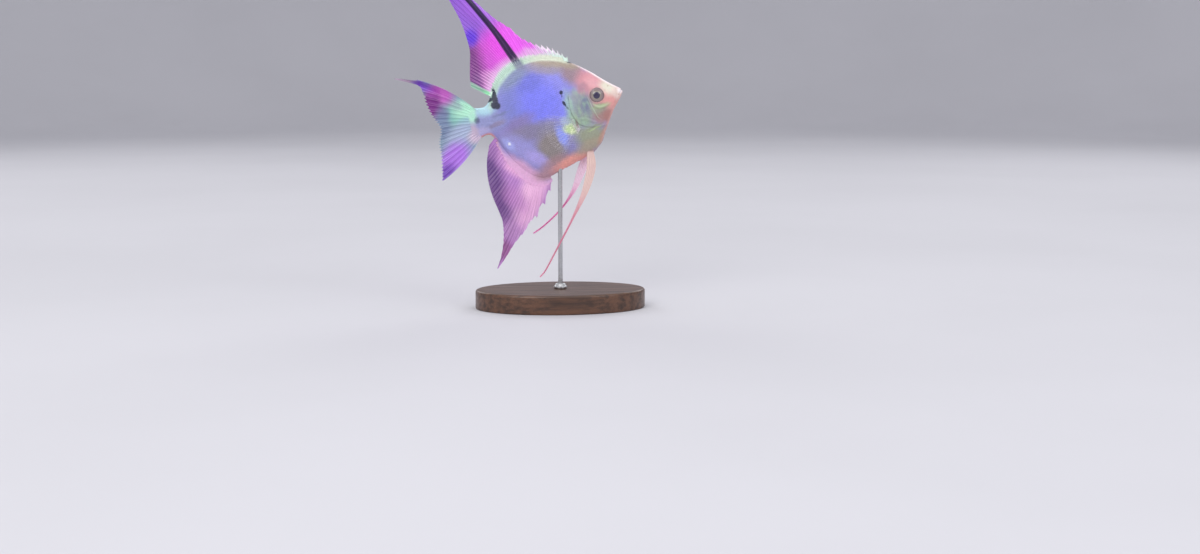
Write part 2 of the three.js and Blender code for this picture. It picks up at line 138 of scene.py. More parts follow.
# ---------------------------------------------------------------- the body's form
back_line = smooth([
    (-44, 8.1), (-39, 7.1), (-35, 7.9), (-31, 13.6), (-26, 20.3), (-18, 25.6), (-8, 27.6), (3, 26.9),
    (14, 23.2), (24, 16.6), (34, 7.6), (40, 2.9), (42.5, 0.8),
])
belly_line = smooth([
    (-44, -10.4), (-37, -8.9), (-34.3, -11.6), (-28, -24.6), (-20, -35.4), (-11.5, -40.3), (-4, -38.2),
    (8, -34.7), (18, -31.6), (24.5, -27), (29.4, -19.2), (35, -10.2), (40, -4.1), (42.5, -0.9),
])
ridge_line = smooth([(-44, -1.2), (-20, -3.5), (5, -4), (20, -3), (32, -1.4), (42.5, -0.2)])
half_width = smooth([
    (-44, 1.7), (-38, 2.4), (-30, 3.5), (-20, 5.2), (-8, 7), (4, 8), (13, 8.1), (22, 7.1), (29, 5.7),
    (36, 4.1), (40, 2.9), (42.5, 1.7),
])
edge_width = smooth([
    (-44, 0.8), (-20, 0.9), (4, 1.3), (16, 1.8), (24, 2.2), (34, 2.3), (40, 1.9), (42.5, 1.1),
])
# Behind the tail root the body thins to a wedge inside the tail fin.
wedge_width = smooth([(SKIN_END_X, 0.18), (-44.5, 0.62), (-41, 1)])
wedge_height = smooth([(SKIN_END_X, 0.72), (-44.5, 0.95), (-41, 1)])
SNOUT_ROUND = 1.3  # the snout's last stretch is rounded off like a quarter circle
LIP_X = 41.55  # where the upper lip ends, and the lower one, which reaches further, stands alone


def half_thickness(x, t):
    """Half the body's thickness at height t: -1 on the belly line, 0 on the ridge line, 1 on the back line. A
    lens shape, (1 - t^2) to the power 0.85, stands on a slab with rounded edges, the root of (1 - |t|^10)."""
    slab = np.sqrt(np.clip(1 - np.abs(t) ** 10, 0, 1))
    return edge_width(x) * slab + (half_width(x) - edge_width(x)) * np.clip(1 - t * t, 0, 1) ** 0.85


def reach_up(x):
    """The height of the back line above the ridge line."""
    return back_line(x) - ridge_line(x)


def reach_down(x):
    """The depth of the belly line below the ridge line."""
    return ridge_line(x) - belly_line(x)


TABLE_X = np.linspace(SKIN_END_X, SNOUT_X, 260)
TABLE_SHARE = np.linspace(0, 1, 90)


def girth_tables():
    """For the upper and the lower half of each cross-section: its girth from ridge to edge, and the angle at
    even shares of that girth, found by adding up the lengths of short chords and reading them backwards."""
    angle = np.linspace(np.pi / 2, 0, 240)
    t = np.cos(angle)
    y = half_thickness(TABLE_X[:, None], t)
    tables = []
    for reach in (reach_up, reach_down):
        z = reach(TABLE_X)[:, None] * t
        chords = np.hypot(np.diff(y, axis=1), np.diff(z, axis=1))
        length = np.concatenate([np.zeros((len(TABLE_X), 1)), np.cumsum(chords, 1)], 1)
        angles = [np.interp(TABLE_SHARE * row[-1], row, angle) for row in length]
        tables.append((length[:, -1], np.array(angles)))
    return tables


(UP_GIRTH, UP_ANGLE), (DOWN_GIRTH, DOWN_ANGLE) = girth_tables()


def height_share(x, share):
    """The height t of a place on the flank, given as a share of the girth from the ridge: 1 at the back and
    -1 at the belly. It is read between the four nearest entries of the angle tables."""
    i = np.clip((x - TABLE_X[0]) / (TABLE_X[1] - TABLE_X[0]), 0, len(TABLE_X) - 1.001)
    j = np.clip(np.abs(share) * (len(TABLE_SHARE) - 1), 0, len(TABLE_SHARE) - 1.001)
    i0, j0 = i.astype(int), j.astype(int)
    a, b = i - i0, j - j0

    def read(table):
        near = table[i0, j0] * (1 - b) + table[i0, j0 + 1] * b
        far = table[i0 + 1, j0] * (1 - b) + table[i0 + 1, j0 + 1] * b
        return near * (1 - a) + far * a

    return np.where(share >= 0, np.cos(read(UP_ANGLE)), -np.cos(read(DOWN_ANGLE)))


def body_point(x, share, side):
    """A point of the body's plain form: height t between the ridge and the back or belly line, and half the
    thickness out to one side, both drawn in round the snout's tip and inside the tail fin."""
    x, share = np.broadcast_arrays(x, share)
    t = height_share(x, share)
    rounding = np.clip(x - SNOUT_X + SNOUT_ROUND, 0, None) / SNOUT_ROUND
    tip = np.sqrt(np.clip(1 - rounding**2, 0, 1))
    lips = 1 - 0.42 * ramp(x, LIP_X - 0.1, LIP_X + 0.16) * (1 - 0.6 * ramp(x, LIP_X + 0.2, SNOUT_X))
    reach = np.where(t > 0, reach_up(x) * lips, reach_down(x)) * tip * wedge_height(x)
    y = side * half_thickness(x, t) * tip * wedge_width(x)
    return np.stack([x, y, ridge_line(x) + t * reach], -1)


def unit(vectors):
    """Vectors made one long."""
    return vectors / np.maximum(np.linalg.norm(vectors, axis=-1, keepdims=True), 1e-9)


# ---------------------------------------------------------------- folds and edges of the head
SCALE_EDGE = even_path(
    (35, 19), (30.4, 13.4), (25.4, 9.9), (20, 8.6), (15.2, 7.4), (12, 4), (10.8, -2), (11.2, -7.4),
    (14.6, -13.3), (23, -16.4), (37, -17),
)
GILL_EDGE = smooth_path([
    (0, 19.5, 31), (0.18, 14.8, 15), (0.36, 11, 3), (0.5, 10.9, -6), (0.64, 14.5, -13.4), (0.8, 23, -16.4),
    (1, 37, -17),
])
CHEEK_RIDGE = even_path((21.2, 2), (21.9, -1.2), (23, -5.3), (24.2, -8.6), (25.2, -11.6), (27.4, -13.8))
EYE_ARC = even_path((23.4, -3.2), (25, -5), (27.4, -6.1), (30.2, -6), (33.4, -4.8))
MOUTH_LINE = even_path((39.3, -1.9), (40.4, -0.7), (41.5, 0.7), (42.3, 2.2))
JAW_FOLD = even_path((39.3, 4), (38.5, 1), (38.2, -1.8), (36.8, -4.6), (35, -6.8))
COVER_FOLD = even_path((13.6, -10.4), (17.6, -10.8), (21.2, -12.8), (24.6, -14.4))
LATERAL_LINE = even_path((11.5, 7), (6, 13.2), (-4, 17.4), (-15, 17.8), (-25, 14.4))
TAIL_LINE = even_path((-17, -3.2), (-28, -2.4), (-43, -1))
BREAST_LOBE = even_path((12.5, -9.6), (12.9, -13), (12.3, -16.6))
NOSTRIL = (34.4, 4.6)


def near_line(path, x, z, start, end, reach):
    """How far points lie to the left of a path, and a share that is 1 beside it. The share fades in up to the
    place start on the path, fades out from the place end on, and is 0 further off than reach."""
    off, along = beside(path, x, z)
    shown = ramp(along, 0, start) * (np.abs(off) < reach)
    return off, shown if end is None else shown * fall(along, end, 1)


def relief(x, z):
    """How far the skin stands out from the body's plain form, in millimetres, and two masks from 0 to 1: the
    painted shade in its folds, grooves and pits, and the pale painted highlight on its ridges. Each feature
    is a bell or a step across its own line or ring."""
    gill, along = beside(GILL_EDGE, x, z)
    opening = ramp(along, 0.3, 0.4) * (1 - 0.5 * ramp(along, 0.6, 0.72)) * fall(along, 0.84, 0.98)
    cover = ramp(gill, -0.22, 0.06)
    height = 0.24 * opening * (cover * bump(gill, 3.2) - (1 - cover) * bump(gill + 0.25, 0.7))
    # Painted shade in the gill slit, and a painted highlight along the gill cover's edge.
    crease_shade = 0.55 * opening * bump(gill + 0.25, 0.3)
    ridge = 0.25 * opening * bump(gill - 0.4, 0.4)
    for path, rise, width in ((CHEEK_RIDGE, 0.1, 0.3), (EYE_ARC, 0.13, 0.55), (COVER_FOLD, 0.08, 0.5)):
        off, shown = near_line(path, x, z, 0.12, 0.85, 4)
        height += shown * (rise * bump(off, width) - 0.08 * bump(np.abs(off) - 2 * width, width))
        # A painted highlight on each ridge, and painted shade in the fold beside it.
        ridge = np.maximum(ridge, shown * bump(off, width * 0.7))
        crease_shade = np.maximum(crease_shade, shown * 0.35 * bump(off + 1.8 * width, width))
    off, shown = near_line(MOUTH_LINE, x, z, 0.14, None, 3)
    height += shown * (0.2 * bump(np.abs(off) - 0.55, 0.36) - 0.4 * bump(off, 0.16))
    # Painted shade in the mouth's slit.
    crease_shade = np.maximum(crease_shade, shown * 0.5 * bump(off, 0.12))
    # Grooves, sunk a little, with painted shade of strength dark along them.
    for path, start, end, width, dark, shade_width in (
        (JAW_FOLD, 0.2, 0.7, 0.4, 0.12, 0.35),
        (LATERAL_LINE, 0.1, 0.85, 0.5, 0.18, 0.5),
        (TAIL_LINE, 0.1, 0.85, 0.5, 0.18, 0.5),
    ):
        off, shown = near_line(path, x, z, start, end, 3)
        height -= shown * 0.1 * bump(off, width)
        crease_shade = np.maximum(crease_shade, shown * dark * bump(off, shade_width))
    off, shown = near_line(BREAST_LOBE, x, z, 0.2, 0.8, 4)
    height += shown * 0.35 * bump(off + 0.9, 1.1)
    nostril = np.hypot(x - NOSTRIL[0], z - NOSTRIL[1])
    height += 0.1 * bump(nostril - 0.7, 0.25) - 0.4 * bump(nostril, 0.34)
    # Painted shade in the nostril.
    crease_shade = np.maximum(crease_shade, 0.8 * bump(nostril, 0.3))

    orbit = np.hypot(x - EYE["x"], z - EYE["z"])
    height += 0.24 * bump(orbit - EYE["seen"] - 0.6, 0.5)
    height -= 2.4 * fall(orbit, EYE["seen"] - 0.55, EYE["seen"] + 0.3)
    # Painted shade round the eye's socket.
    crease_shade = np.maximum(crease_shade, 0.35 * bump(orbit - EYE["seen"] - 0.1, 0.3))
    return height, crease_shade, ridge


def trunk_share(x, z):
    """1 where the body's own scales grow, behind the gill opening and on the nape, and 0 on the bare head. It
    fades slowly over the nape, and quickly at the gill opening."""
    ahead, _ = beside(SCALE_EDGE, x, z)
    return 1 - ramp(ahead, -0.9 - 6.1 * ramp(z, 3, 10), -0.3)


def cheek_share(x, z):
    """1 on the gill cover and the cheek, where small scales grow, and 0 beyond them, round the eye and on the
    ridges."""
    orbit = np.hypot(x - EYE["x"], z - EYE["z"])
    share = ramp(orbit, EYE["seen"] + 1, EYE["seen"] + 2) * fall(x, 29, 33) * fall(z, 0, 5)
    for path, low, high in ((GILL_EDGE, 0.7, 1.8), (SCALE_EDGE, 0.6, 1.6)):
        share = share * ramp(beside(path, x, z)[0], low, high)
    for path in (CHEEK_RIDGE, EYE_ARC):
        share = share * ramp(np.abs(beside(path, x, z)[0]), 0.3, 1.3 if path is EYE_ARC else 1.2)
    return share


def sunk(x, z, coat):
    """The depth by which the skin lies inside the body's plain form to leave room for the scales."""
    return coat * (trunk_share(x, z) + 0.3 * cheek_share(x, z))


# ---------------------------------------------------------------- placing and making pieces
def turned(points):
    """Points turned head up by the fish's pitch, about its own y axis."""
    x, y, z = np.moveaxis(np.asarray(points, float), -1, 0)
    c, s = math.cos(PITCH), math.sin(PITCH)
    return np.stack([c * x - s * z, y, s * x + c * z], -1)


def middle(node):
    """The middle of a node's box in the frame, in metres."""
    low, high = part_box(node)
    return (np.array(low) + np.array(high)) / 2


FISH_AT = (middle("eye_right") + middle("eye_left")) / 2 - turned([EYE_NODE[0], 0, EYE_NODE[1]]) * MM


def place(points):
    """Points of the level fish, in millimetres, where the frame holds them, in metres."""
    return turned(points) * MM + FISH_AT


def grid_faces(rows, columns, ring=False):
    """Quads between neighbouring rows and columns of points numbered row by row. A ring joins the last column
    to the first."""
    i, j = np.meshgrid(np.arange(rows - 1), np.arange(columns if ring else columns - 1), indexing="ij")
    k = (j + 1) % columns
    row, below = i * columns, (i + 1) * columns
    return np.stack([row + j, below + j, below + k, row + k], -1).reshape(-1, 4)


def fan_faces(centre, ring):
    """Triangles from a centre point to a ring of points."""
    ring = np.asarray(ring)
    return np.stack([np.full(len(ring), centre), ring, np.roll(ring, -1)], -1)


def capped(rings, first, last):
    """The points and faces of a closed form: rings of points, and a point that closes each end."""
    rows, columns = rings.shape[:2]
    count = rows * columns
    last_fan = fan_faces(count + 1, np.arange(count - columns, count))[:, ::-1]
    faces = [grid_faces(rows, columns, ring=True), fan_faces(count, np.arange(columns)), last_fan]
    return np.concatenate([rings.reshape(-1, 3), [first, last]]), faces


def round_angles(count):
    """Even angles once round a circle."""
    return np.arange(count) * 2 * np.pi / count


def enclosed(points, faces):
    """Six times the volume inside a closed mesh: negative where its faces point inwards."""
    total = 0
    for group in faces:
        corner = points[group]
        for k in range(1, group.shape[1] - 1):
            total += np.einsum("ij,ij->", corner[:, 0], np.cross(corner[:, k], corner[:, k + 1]))
    return total


def make_piece(name, points, faces, material, stands_for=(), attributes=None):
    """A closed mesh from points in metres and arrays of faces, turned outwards and shaded smooth, with its
    material and its named vector attributes, set on the frame's body."""
    if enclosed(points, faces) < 0:
        faces = [group[:, ::-1] for group in faces]
    corners = np.concatenate([group.ravel() for group in faces]).astype(np.int32)
    sizes = np.concatenate([np.full(len(group), group.shape[1]) for group in faces])
    mesh = bpy.data.meshes.new(name)
    mesh.vertices.add(len(points))
    mesh.vertices.foreach_set("co", np.ascontiguousarray(points, np.float32).ravel())
    mesh.loops.add(len(corners))
    mesh.loops.foreach_set("vertex_index", corners)
    mesh.polygons.add(len(sizes))
    mesh.polygons.foreach_set("loop_start", (np.cumsum(sizes) - sizes).astype(np.int32))
    mesh.polygons.foreach_set("use_smooth", np.ones(len(sizes), bool))
    mesh.update(calc_edges=True)
    for label, values in (attributes or {}).items():
        made = mesh.attributes.new(label, "FLOAT_VECTOR", "POINT")
        made.data.foreach_set("vector", np.ascontiguousarray(values, np.float32).ravel())
    mesh.materials.append(material)
    thing = bpy.data.objects.new(name, mesh)
    bpy.context.scene.collection.objects.link(thing)
    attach(thing, "root")
    if stands_for:
        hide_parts(*stands_for)
    return thing


def outline_of(x, z):
    """How far points lie below the back line and above the belly line, square to those lines, and how far
    beside the back fin's dark streak: what the markings along an edge follow."""
    step = 0.5
    back_slope = (back_line(x + step) - back_line(x - step)) / (2 * step)
    belly_slope = (belly_line(x + step) - belly_line(x - step)) / (2 * step)
    below = (back_line(x) - z) / np.hypot(1, back_slope)
    above = (z - belly_line(x)) / np.hypot(1, belly_slope)
    return np.stack([below, above, np.abs(beside(STREAK, x, z)[0])], -1)


# ---------------------------------------------------------------- the fins' form
def root_along(line, inward, rays, places):
    """A fin's root: places along the back or belly line, each set ROOT_DEPTH inside it, square to it."""
    at = smooth([(ray / rays, x) for ray, x in places])

    def root(u):
        x = at(u)
        rise = line(x + 0.5) - line(x - 0.5)
        length = np.hypot(1, rise)
        return x - inward * ROOT_DEPTH * rise / length, line(x) + inward * ROOT_DEPTH / length

    return root


ROOT_SWELL = 0.55  # how much thicker the back and anal fins are at their roots than further out
SWELL_REACH = 3.2  # how far out that fades, as a bell
FORK = smooth([(0, 0), (0.35, 0), (0.7, 0.13), (1, 0.24)])  # how far a ray's branches part along it
# The radius of a ray along it, from root to tip.
THIN_RAY = smooth([(0, 0.2), (0.4, 0.16), (1, 0.09)])
FAINT_RAY = smooth([(0, 0.09), (0.4, 0.06), (0.8, 0.08), (1, 0.08)])
STOUT_RAY = smooth([(0, 0.22), (0.4, 0.14), (1, 0.09)])
FEELER_RAY = smooth([(0, 0.36), (0.3, 0.26), (0.6, 0.24), (1, 0.18)])
BACK_RAYS, ANAL_RAYS, TAIL_RAYS = 36, 32, 17
# The front rays of the back and anal fins are single spines, and the others fork.
BACK_FIN = {
    "piece": "back_fin", "node": "dorsal_fin", "slot": "back_fin",
    "rays": BACK_RAYS, "rows": 64, "swell": ROOT_SWELL,
    "root": root_along(
        back_line, -1, BACK_RAYS, [(0, 16.4), (6, 5), (12, -10.6), (20, -18.6), (28, -25.4), (36, -32)]
    ),
    "edge": ray_path(BACK_RAYS, [
        (0, 15.4, 25.6), (1, 12.7, 28), (2, 10.4, 30.2), (4, 5.1, 33.8), (6, -0.9, 36.4), (8, -6.5, 39.9),
        (9, -9.6, 42.8), (10, -12.9, 47.6), (11, -17, 51.4), (12, -21.6, 56), (13, -29.2, 66),
        (14, -43.8, 85.1), (15, -47.9, 83.8), (16, -45.6, 75.5), (17, -42.8, 68), (19, -39.8, 58),
        (22, -38.3, 48), (26, -38, 39.4), (30, -39.6, 32), (34, -41.2, 24.4), (36, -41.6, 19.4),
    ]),
    "notch": smooth([(0, 2), (0.06, 3.2), (0.14, 3), (0.2, 2), (0.3, 1), (0.4, 0.6), (0.5, 0.35), (1, 0.4)]),
    "bow": lambda u: -0.03 * np.sin(np.pi * u),
    "sway": lambda u, v: 5 * v**2 * np.sin(np.pi * np.minimum(1, 1.25 * u)),
    "radius": lambda u, v: THIN_RAY(v) + 0.15 * v * fall(u, 0.2, 0.34),
    "split": lambda u, v: FORK(v) * ramp(u, 0.24, 0.36),
}
ANAL_FIN = {
    "piece": "under_fin", "node": "anal_fin", "slot": "violet_fin",
    "rays": ANAL_RAYS, "rows": 64, "swell": ROOT_SWELL,
    "root": root_along(
        belly_line, 1, ANAL_RAYS, [(0, -6.2), (6, -13.6), (14, -20.4), (23, -28), (32, -34.6)]
    ),
    "edge": ray_path(ANAL_RAYS, [
        (0, -8.2, -43.6), (1, -9.4, -47.6), (2, -12.6, -50.2), (3, -14.2, -54.6), (4, -18.4, -56.4),
        (5, -20.2, -60.8), (6, -24.6, -62.4), (7, -29, -67.2), (8, -36, -72.6), (9, -42.4, -79.2),
        (10, -48.8, -85), (11, -45.4, -78.8), (12, -42.2, -70.6), (14, -40.3, -60.4), (17, -40.9, -53.6),
        (21, -42.8, -43.6), (25, -43.3, -34),
        (29, -41.8, -23.8), (32, -38.6, -15),
    ]),
    "notch": smooth([(0, 1.8), (0.15, 2.6), (0.25, 1.4), (0.35, 0.8), (1, 0.8)]),
    "bow": lambda u: 0.035 * np.sin(np.pi * u),
    "sway": lambda u, v: -4 * v**2 * np.sin(np.pi * np.minimum(1, 1.3 * u)),
    "radius": lambda u, v: FAINT_RAY(v) + 0.08 * v * (ramp(u, 0.55, 0.8) + fall(u, 0.1, 0.2)),
    "split": lambda u, v: FORK(v) * ramp(u, 0.12, 0.22),
}
TAIL_FIN = {
    "piece": "tail_fan", "node": "caudal_fin", "slot": "violet_fin",
    "rays": TAIL_RAYS, "rows": 56, "swell": 0.7,
    "root": smooth_path([(0, -41.6, 6.6), (0.5, -41.6, -1.3), (1, -41.6, -9.2)]),
    "edge": ray_path(TAIL_RAYS, [
        (0, -70.6, 29.8), (0.5, -71.6, 29.5), (0.75, -81, 32.5), (1, -82.85, 32.7), (1.25, -81, 31.8),
        (1.5, -71.4, 27.4), (2, -69.2, 24), (4, -68.7, 16), (6, -66.9, 8.2), (8, -64, 1.6),
        (9, -64.2, -1.8), (11, -66.2, -7.6), (13, -66.6, -14.6), (15, -67.7, -22.4),
        (17, -69, -29.2),
    ]),
    "notch": smooth([(0, 0), (0.1, 0), (0.15, 1.8), (1, 1.6)]),
    "bow": lambda u: -0.12 * (0.5 - u) * np.abs(2 * u - 1),
    "sway": lambda u, v: -4.5 * v**2,
    "radius": lambda u, v: STOUT_RAY(v),
    "split": lambda u, v: FORK(v),
}
STREAK = even_path(
    (-12.6, 26), (-17.6, 37.6), (-21.6, 46.6), (-25.9, 54.7), (-30.6, 63.4), (-35.6, 72), (-44.5, 87)
)  # the back fin's dark streak

feeler_width = smooth([
    (0, 3.6), (0.1, 5), (0.2, 4.9), (0.3, 4.1), (0.4, 2.8), (0.5, 1.6), (0.58, 1.1), (1, 0.8),
])
FEELERS = {
    "right": smooth_path([
        (0, 17.4, -29.4), (0.16, 15.6, -39.4), (0.34, 9.4, -51.4), (0.54, -0.4, -64.6), (0.78, -13.4, -80.4),
        (0.95, -22.4, -91), (1, -25.8, -93.6),
    ]),
    "left": smooth_path([
        (0, 16.8, -29.8), (0.2, 11, -39.6), (0.42, 4.2, -50.4), (0.64, -5, -59.6), (0.86, -16.6, -67.2),
        (1, -23.6, -70.4),
    ]),
}
BREAST = {"x": 12, "z": -13.1, "root": 6.4, "length": 20, "spread": 0.56, "out": 22, "down": 12, "rays": 11}
SIDES = (("right", -1), ("left", 1))


def fan_point(fin, u, v):
    """A point of a fan-shaped fin: straight from root to edge, bent within the fin by a parabola of height
    bow, and carried sideways by sway."""
    x0, z0 = fin["root"](u)
    x1, z1 = fin["edge"](u)
    bend = 4 * fin["bow"](u) * v * (1 - v)
    x = x0 + (x1 - x0) * v - bend * (z1 - z0)
    z = z0 + (z1 - z0) * v + bend * (x1 - x0)
    return np.stack(np.broadcast_arrays(x, fin["sway"](u, v), z), -1)


def feeler_point(line, side, u, v):
    """A point of a feeler: beside its line by a share of its width, and spread to its own side."""
    x0, z0 = line(np.clip(v - 0.01, 0, 1))
    x1, z1 = line(np.clip(v + 0.01, 0, 1))
    length = np.hypot(x1 - x0, z1 - z0)
    x, z = line(v)
    off = (u - 0.5) * feeler_width(v)
    y = side * (2.3 + 8.5 * v**0.8 * (1 - 0.25 * v))
    return np.stack(np.broadcast_arrays(x - off * (z1 - z0) / length, y, z + off * (x1 - x0) / length), -1)


def breast_point(side, u, v):
    """A point of a breast fin: a small fan, turned out from the flank and down, about its root."""
    half = BREAST["root"] / 2
    angle = BREAST["spread"] * (1 - 2 * u)
    reach = BREAST["length"] * (0.72 + 0.28 * np.sin(np.pi * (0.14 + 0.76 * u)))
    x = 1.6 + (-reach * np.cos(angle) - 1.6) * v
    z = half * (1 - 2 * u) + reach * np.sin(angle) * v
    out, down = math.radians(-side * BREAST["out"]), math.radians(-BREAST["down"])
    x, y = x * math.cos(out), x * math.sin(out)
    x, z = x * math.cos(down) + z * math.sin(down), -x * math.sin(down) + z * math.cos(down)
    ridge = ridge_line(BREAST["x"])
    t = (BREAST["z"] - ridge) / (ridge - belly_line(BREAST["x"]))
    at = side * (half_thickness(BREAST["x"], t) - 0.2)
    return np.stack(np.broadcast_arrays(x + BREAST["x"], y + at, z + BREAST["z"]), -1)


# Across one ray, from its front edge to the far one: on which branch, and how far out along its radius.
ACROSS_RAY = ((-1, -1), (-1, -0.55), (-1, 0), (-1, 0.6), (0, 0), (1, -0.6), (1, 0), (1, 0.55), (1, 1))


def ray_columns(rays):
    """A sheet's columns of points, as four upright arrays: ray, branch, how far out it is there, and 1 where
    it runs midway to the next ray. The first ray and the last have only their inner half."""
    columns = []
    for ray in range(rays + 1):
        for arm, out in ACROSS_RAY:
            lean = arm + 0.1 * out
            if (ray > 0 or lean >= 0) and (ray < rays or lean <= 0):
                columns.append((ray, arm, out, 0))
        if ray < rays:
            columns.append((ray, 0, 0, 1))
    return np.array(columns, float).T[..., None]


def rim_faces(columns, rows):
    """Quads round a sheet's rim, between its two sides, whose points are numbered one after the other."""
    first, start = np.arange(rows), np.arange(columns) * rows
    edges = ((first, 1), (start + rows - 1, 1), (first + (columns - 1) * rows, -1), (start, -1))
    count = columns * rows
    return [np.stack([a[:-1], a[1:], a[1:] + count, a[:-1] + count], -1)[:, ::way] for a, way in edges]


def ray_sheet(point, rays, rows, radius, web, split, notch=None, swell=0.0):
    """A thin sheet stiffened by rays, as one closed mesh. point(u, v) gives its middle surface, u across the
    rays and v along them. Nine columns of points follow each ray, over its two branches, and one runs midway
    to the next. Half the thickness is web, plus radius(u, v) times a half-circle profile across each branch,
    plus swell times a bell about the root. split(u, v) parts the branches, as a share of the gap between
    rays, and notch(u) cuts the edge back between them, in millimetres. Returns points, faces and two
    attributes. fin: how much a point is ray, how far it is from the body, and what share of the way to the
    edge. rays: which ray, how far from the edge, and its luck."""
    v = np.linspace(0, 1, rows) ** 0.9
    number, branch, place_on, midway = ray_columns(rays)
    midway = midway > 0
    u0 = np.clip(number / rays, 0, 1)
    half_gap = 0.5 / rays
    spread = point(np.clip(u0 + half_gap, 0, 1), v) - point(np.clip(u0 - half_gap, 0, 1), v)
    gap = np.linalg.norm(spread, axis=-1) * np.where((u0 - half_gap < 0) | (u0 + half_gap > 1), 2, 1)
    gap = np.maximum(gap, 0.05)
    thick = radius(u0, v)
    wide = np.minimum(1.25 * thick, 0.19 * gap)
    apart = np.maximum(split(u0, v) * gap, 0.45 * wide)
    offset = branch * apart + place_on * wide
    crossed = (branch * place_on < 0) & (branch * offset < 0)  # a branch's inner edge stays on its own side
    offset = np.where(crossed, -0.05 * offset, offset)
    offset = np.where(midway, 0.5 * gap, np.clip(offset, -0.45 * gap, 0.45 * gap))
    u = np.clip((number + offset / gap) / rays, 0, 1)

    away = np.minimum(np.abs(offset - apart), np.abs(offset + apart))
    crest = np.sqrt(np.clip(1 - (away / np.maximum(wide, 1e-6)) ** 2, 0, 1))
    crest = np.where(midway, 0, crest)
    length = np.linalg.norm(point(u0, np.ones(1)) - point(u0, np.zeros(1)), axis=-1)
    v_at = v + 0 * u
    if notch is not None:
        cut = (1 - np.exp(-8 * away[:, -1:] / gap[:, -1:])) * notch(u0)
        v_at = v * (1 - np.clip(cut / length, 0, 0.5) * v**3)
    from_root = v_at * length
    half = (web + thick * crest + swell * bump(from_root, SWELL_REACH)) * (1 - 0.85 * v**24)
    surface, out = point(u, v_at), half[..., None] * (0, 1, 0)
    points = np.concatenate([(surface - out).reshape(-1, 3), (surface + out).reshape(-1, 3)])
    side = grid_faces(len(number), rows)
    faces = [side[:, ::-1], side + len(number) * rows, *rim_faces(len(number), rows)]
    luck = np.random.default_rng(rays).uniform(0, 1, rays + 2)
    near_ray = np.round(number + 0.5 * midway).astype(int)
    attributes = {
        "fin": (crest, from_root - ROOT_DEPTH, v_at),
        "rays": (u, (v_at[:, -1:] - v_at) * length, luck[near_ray]),
    }
    for name, values in attributes.items():
        values = np.stack(np.broadcast_arrays(*values), -1).reshape(-1, 3)
        attributes[name] = np.concatenate([values, values])  # the same on both sides
    return points, faces, attributes


# ---------------------------------------------------------------- the scales' form
SCALE_SIZE = smooth([
    (-46, 0.62), (-36, 0.7), (-28, 0.86), (-16, 1.02), (4, 1.06), (14, 0.92), (24, 0.74), (32, 0.62),
])  # along x, as a share of the scale pitch


def girth(x, upper):
    """The body's girth from the ridge to the back or to the belly, in millimetres."""
    return np.where(upper, np.interp(x, TABLE_X, UP_GIRTH), np.interp(x, TABLE_X, DOWN_GIRTH))


def scale_roots(pitch, chance):
    """Where scales grow on one side: (x, millimetres of girth from the ridge, size) for each. Columns stand
    pitch apart, rows a little more, narrowing towards the tail, and every second column is half a row off.
    Places on the head's bare parts, at the fins' roots and past the body's edges are left out."""
    found = []
    x = 32.0
    for number in range(200):
        row = float(SCALE_SIZE(x)) * pitch * 1.15
        top, bottom = float(girth(x, True)), float(girth(x, False))
        along = (np.arange(-90, 90) + 0.5 * (number % 2)) * row
        crown = 0.1 + 0.6 * ramp(x, 13, 17)  # the nape's ridge is left bare
        along = along[(along < top - crown) & (along > -bottom + 0.1)]
        found.append(np.stack([np.full(len(along), x), along, np.full(len(along), row)], -1))
        x -= float(SCALE_SIZE(x)) * pitch
        if x < -46:
            break
    found = np.concatenate(found)
    found[:, :2] += chance.normal(0, 0.04, (len(found), 2)) * found[:, 2:]
    point = body_at(found[:, 0], found[:, 1], 1)
    share = trunk_share(point[:, 0], point[:, 2])
    found[:, 2] *= 0.5 + 0.5 * share
    return found[share > np.where(point[:, 2] > 4, 0.16, 0.97)]


def cheek_roots(pitch, chance):
    """The same for the small scales of the gill cover and cheek."""
    x, along = np.meshgrid(np.arange(33, 10, -pitch), np.arange(-16, 16, pitch * 1.15), indexing="ij")
    along = along + (np.arange(len(x)) % 2)[:, None] * pitch * 0.575
    found = np.stack([x.ravel(), along.ravel(), np.full(x.size, pitch * 1.15)], -1)
    found[:, :2] += chance.normal(0, 0.06, (len(found), 2)) * pitch
    point = body_at(found[:, 0], found[:, 1], 1)
    share = cheek_share(point[:, 0], point[:, 2])
    found[:, 2] *= 0.4 + 0.6 * share
    return found[share > 0.2]


def body_at(x, along, side):
    """A point of the plain body from x and millimetres of girth above (or, negative, below) the ridge."""
    return body_point(x, along / girth(x, along >= 0), side)


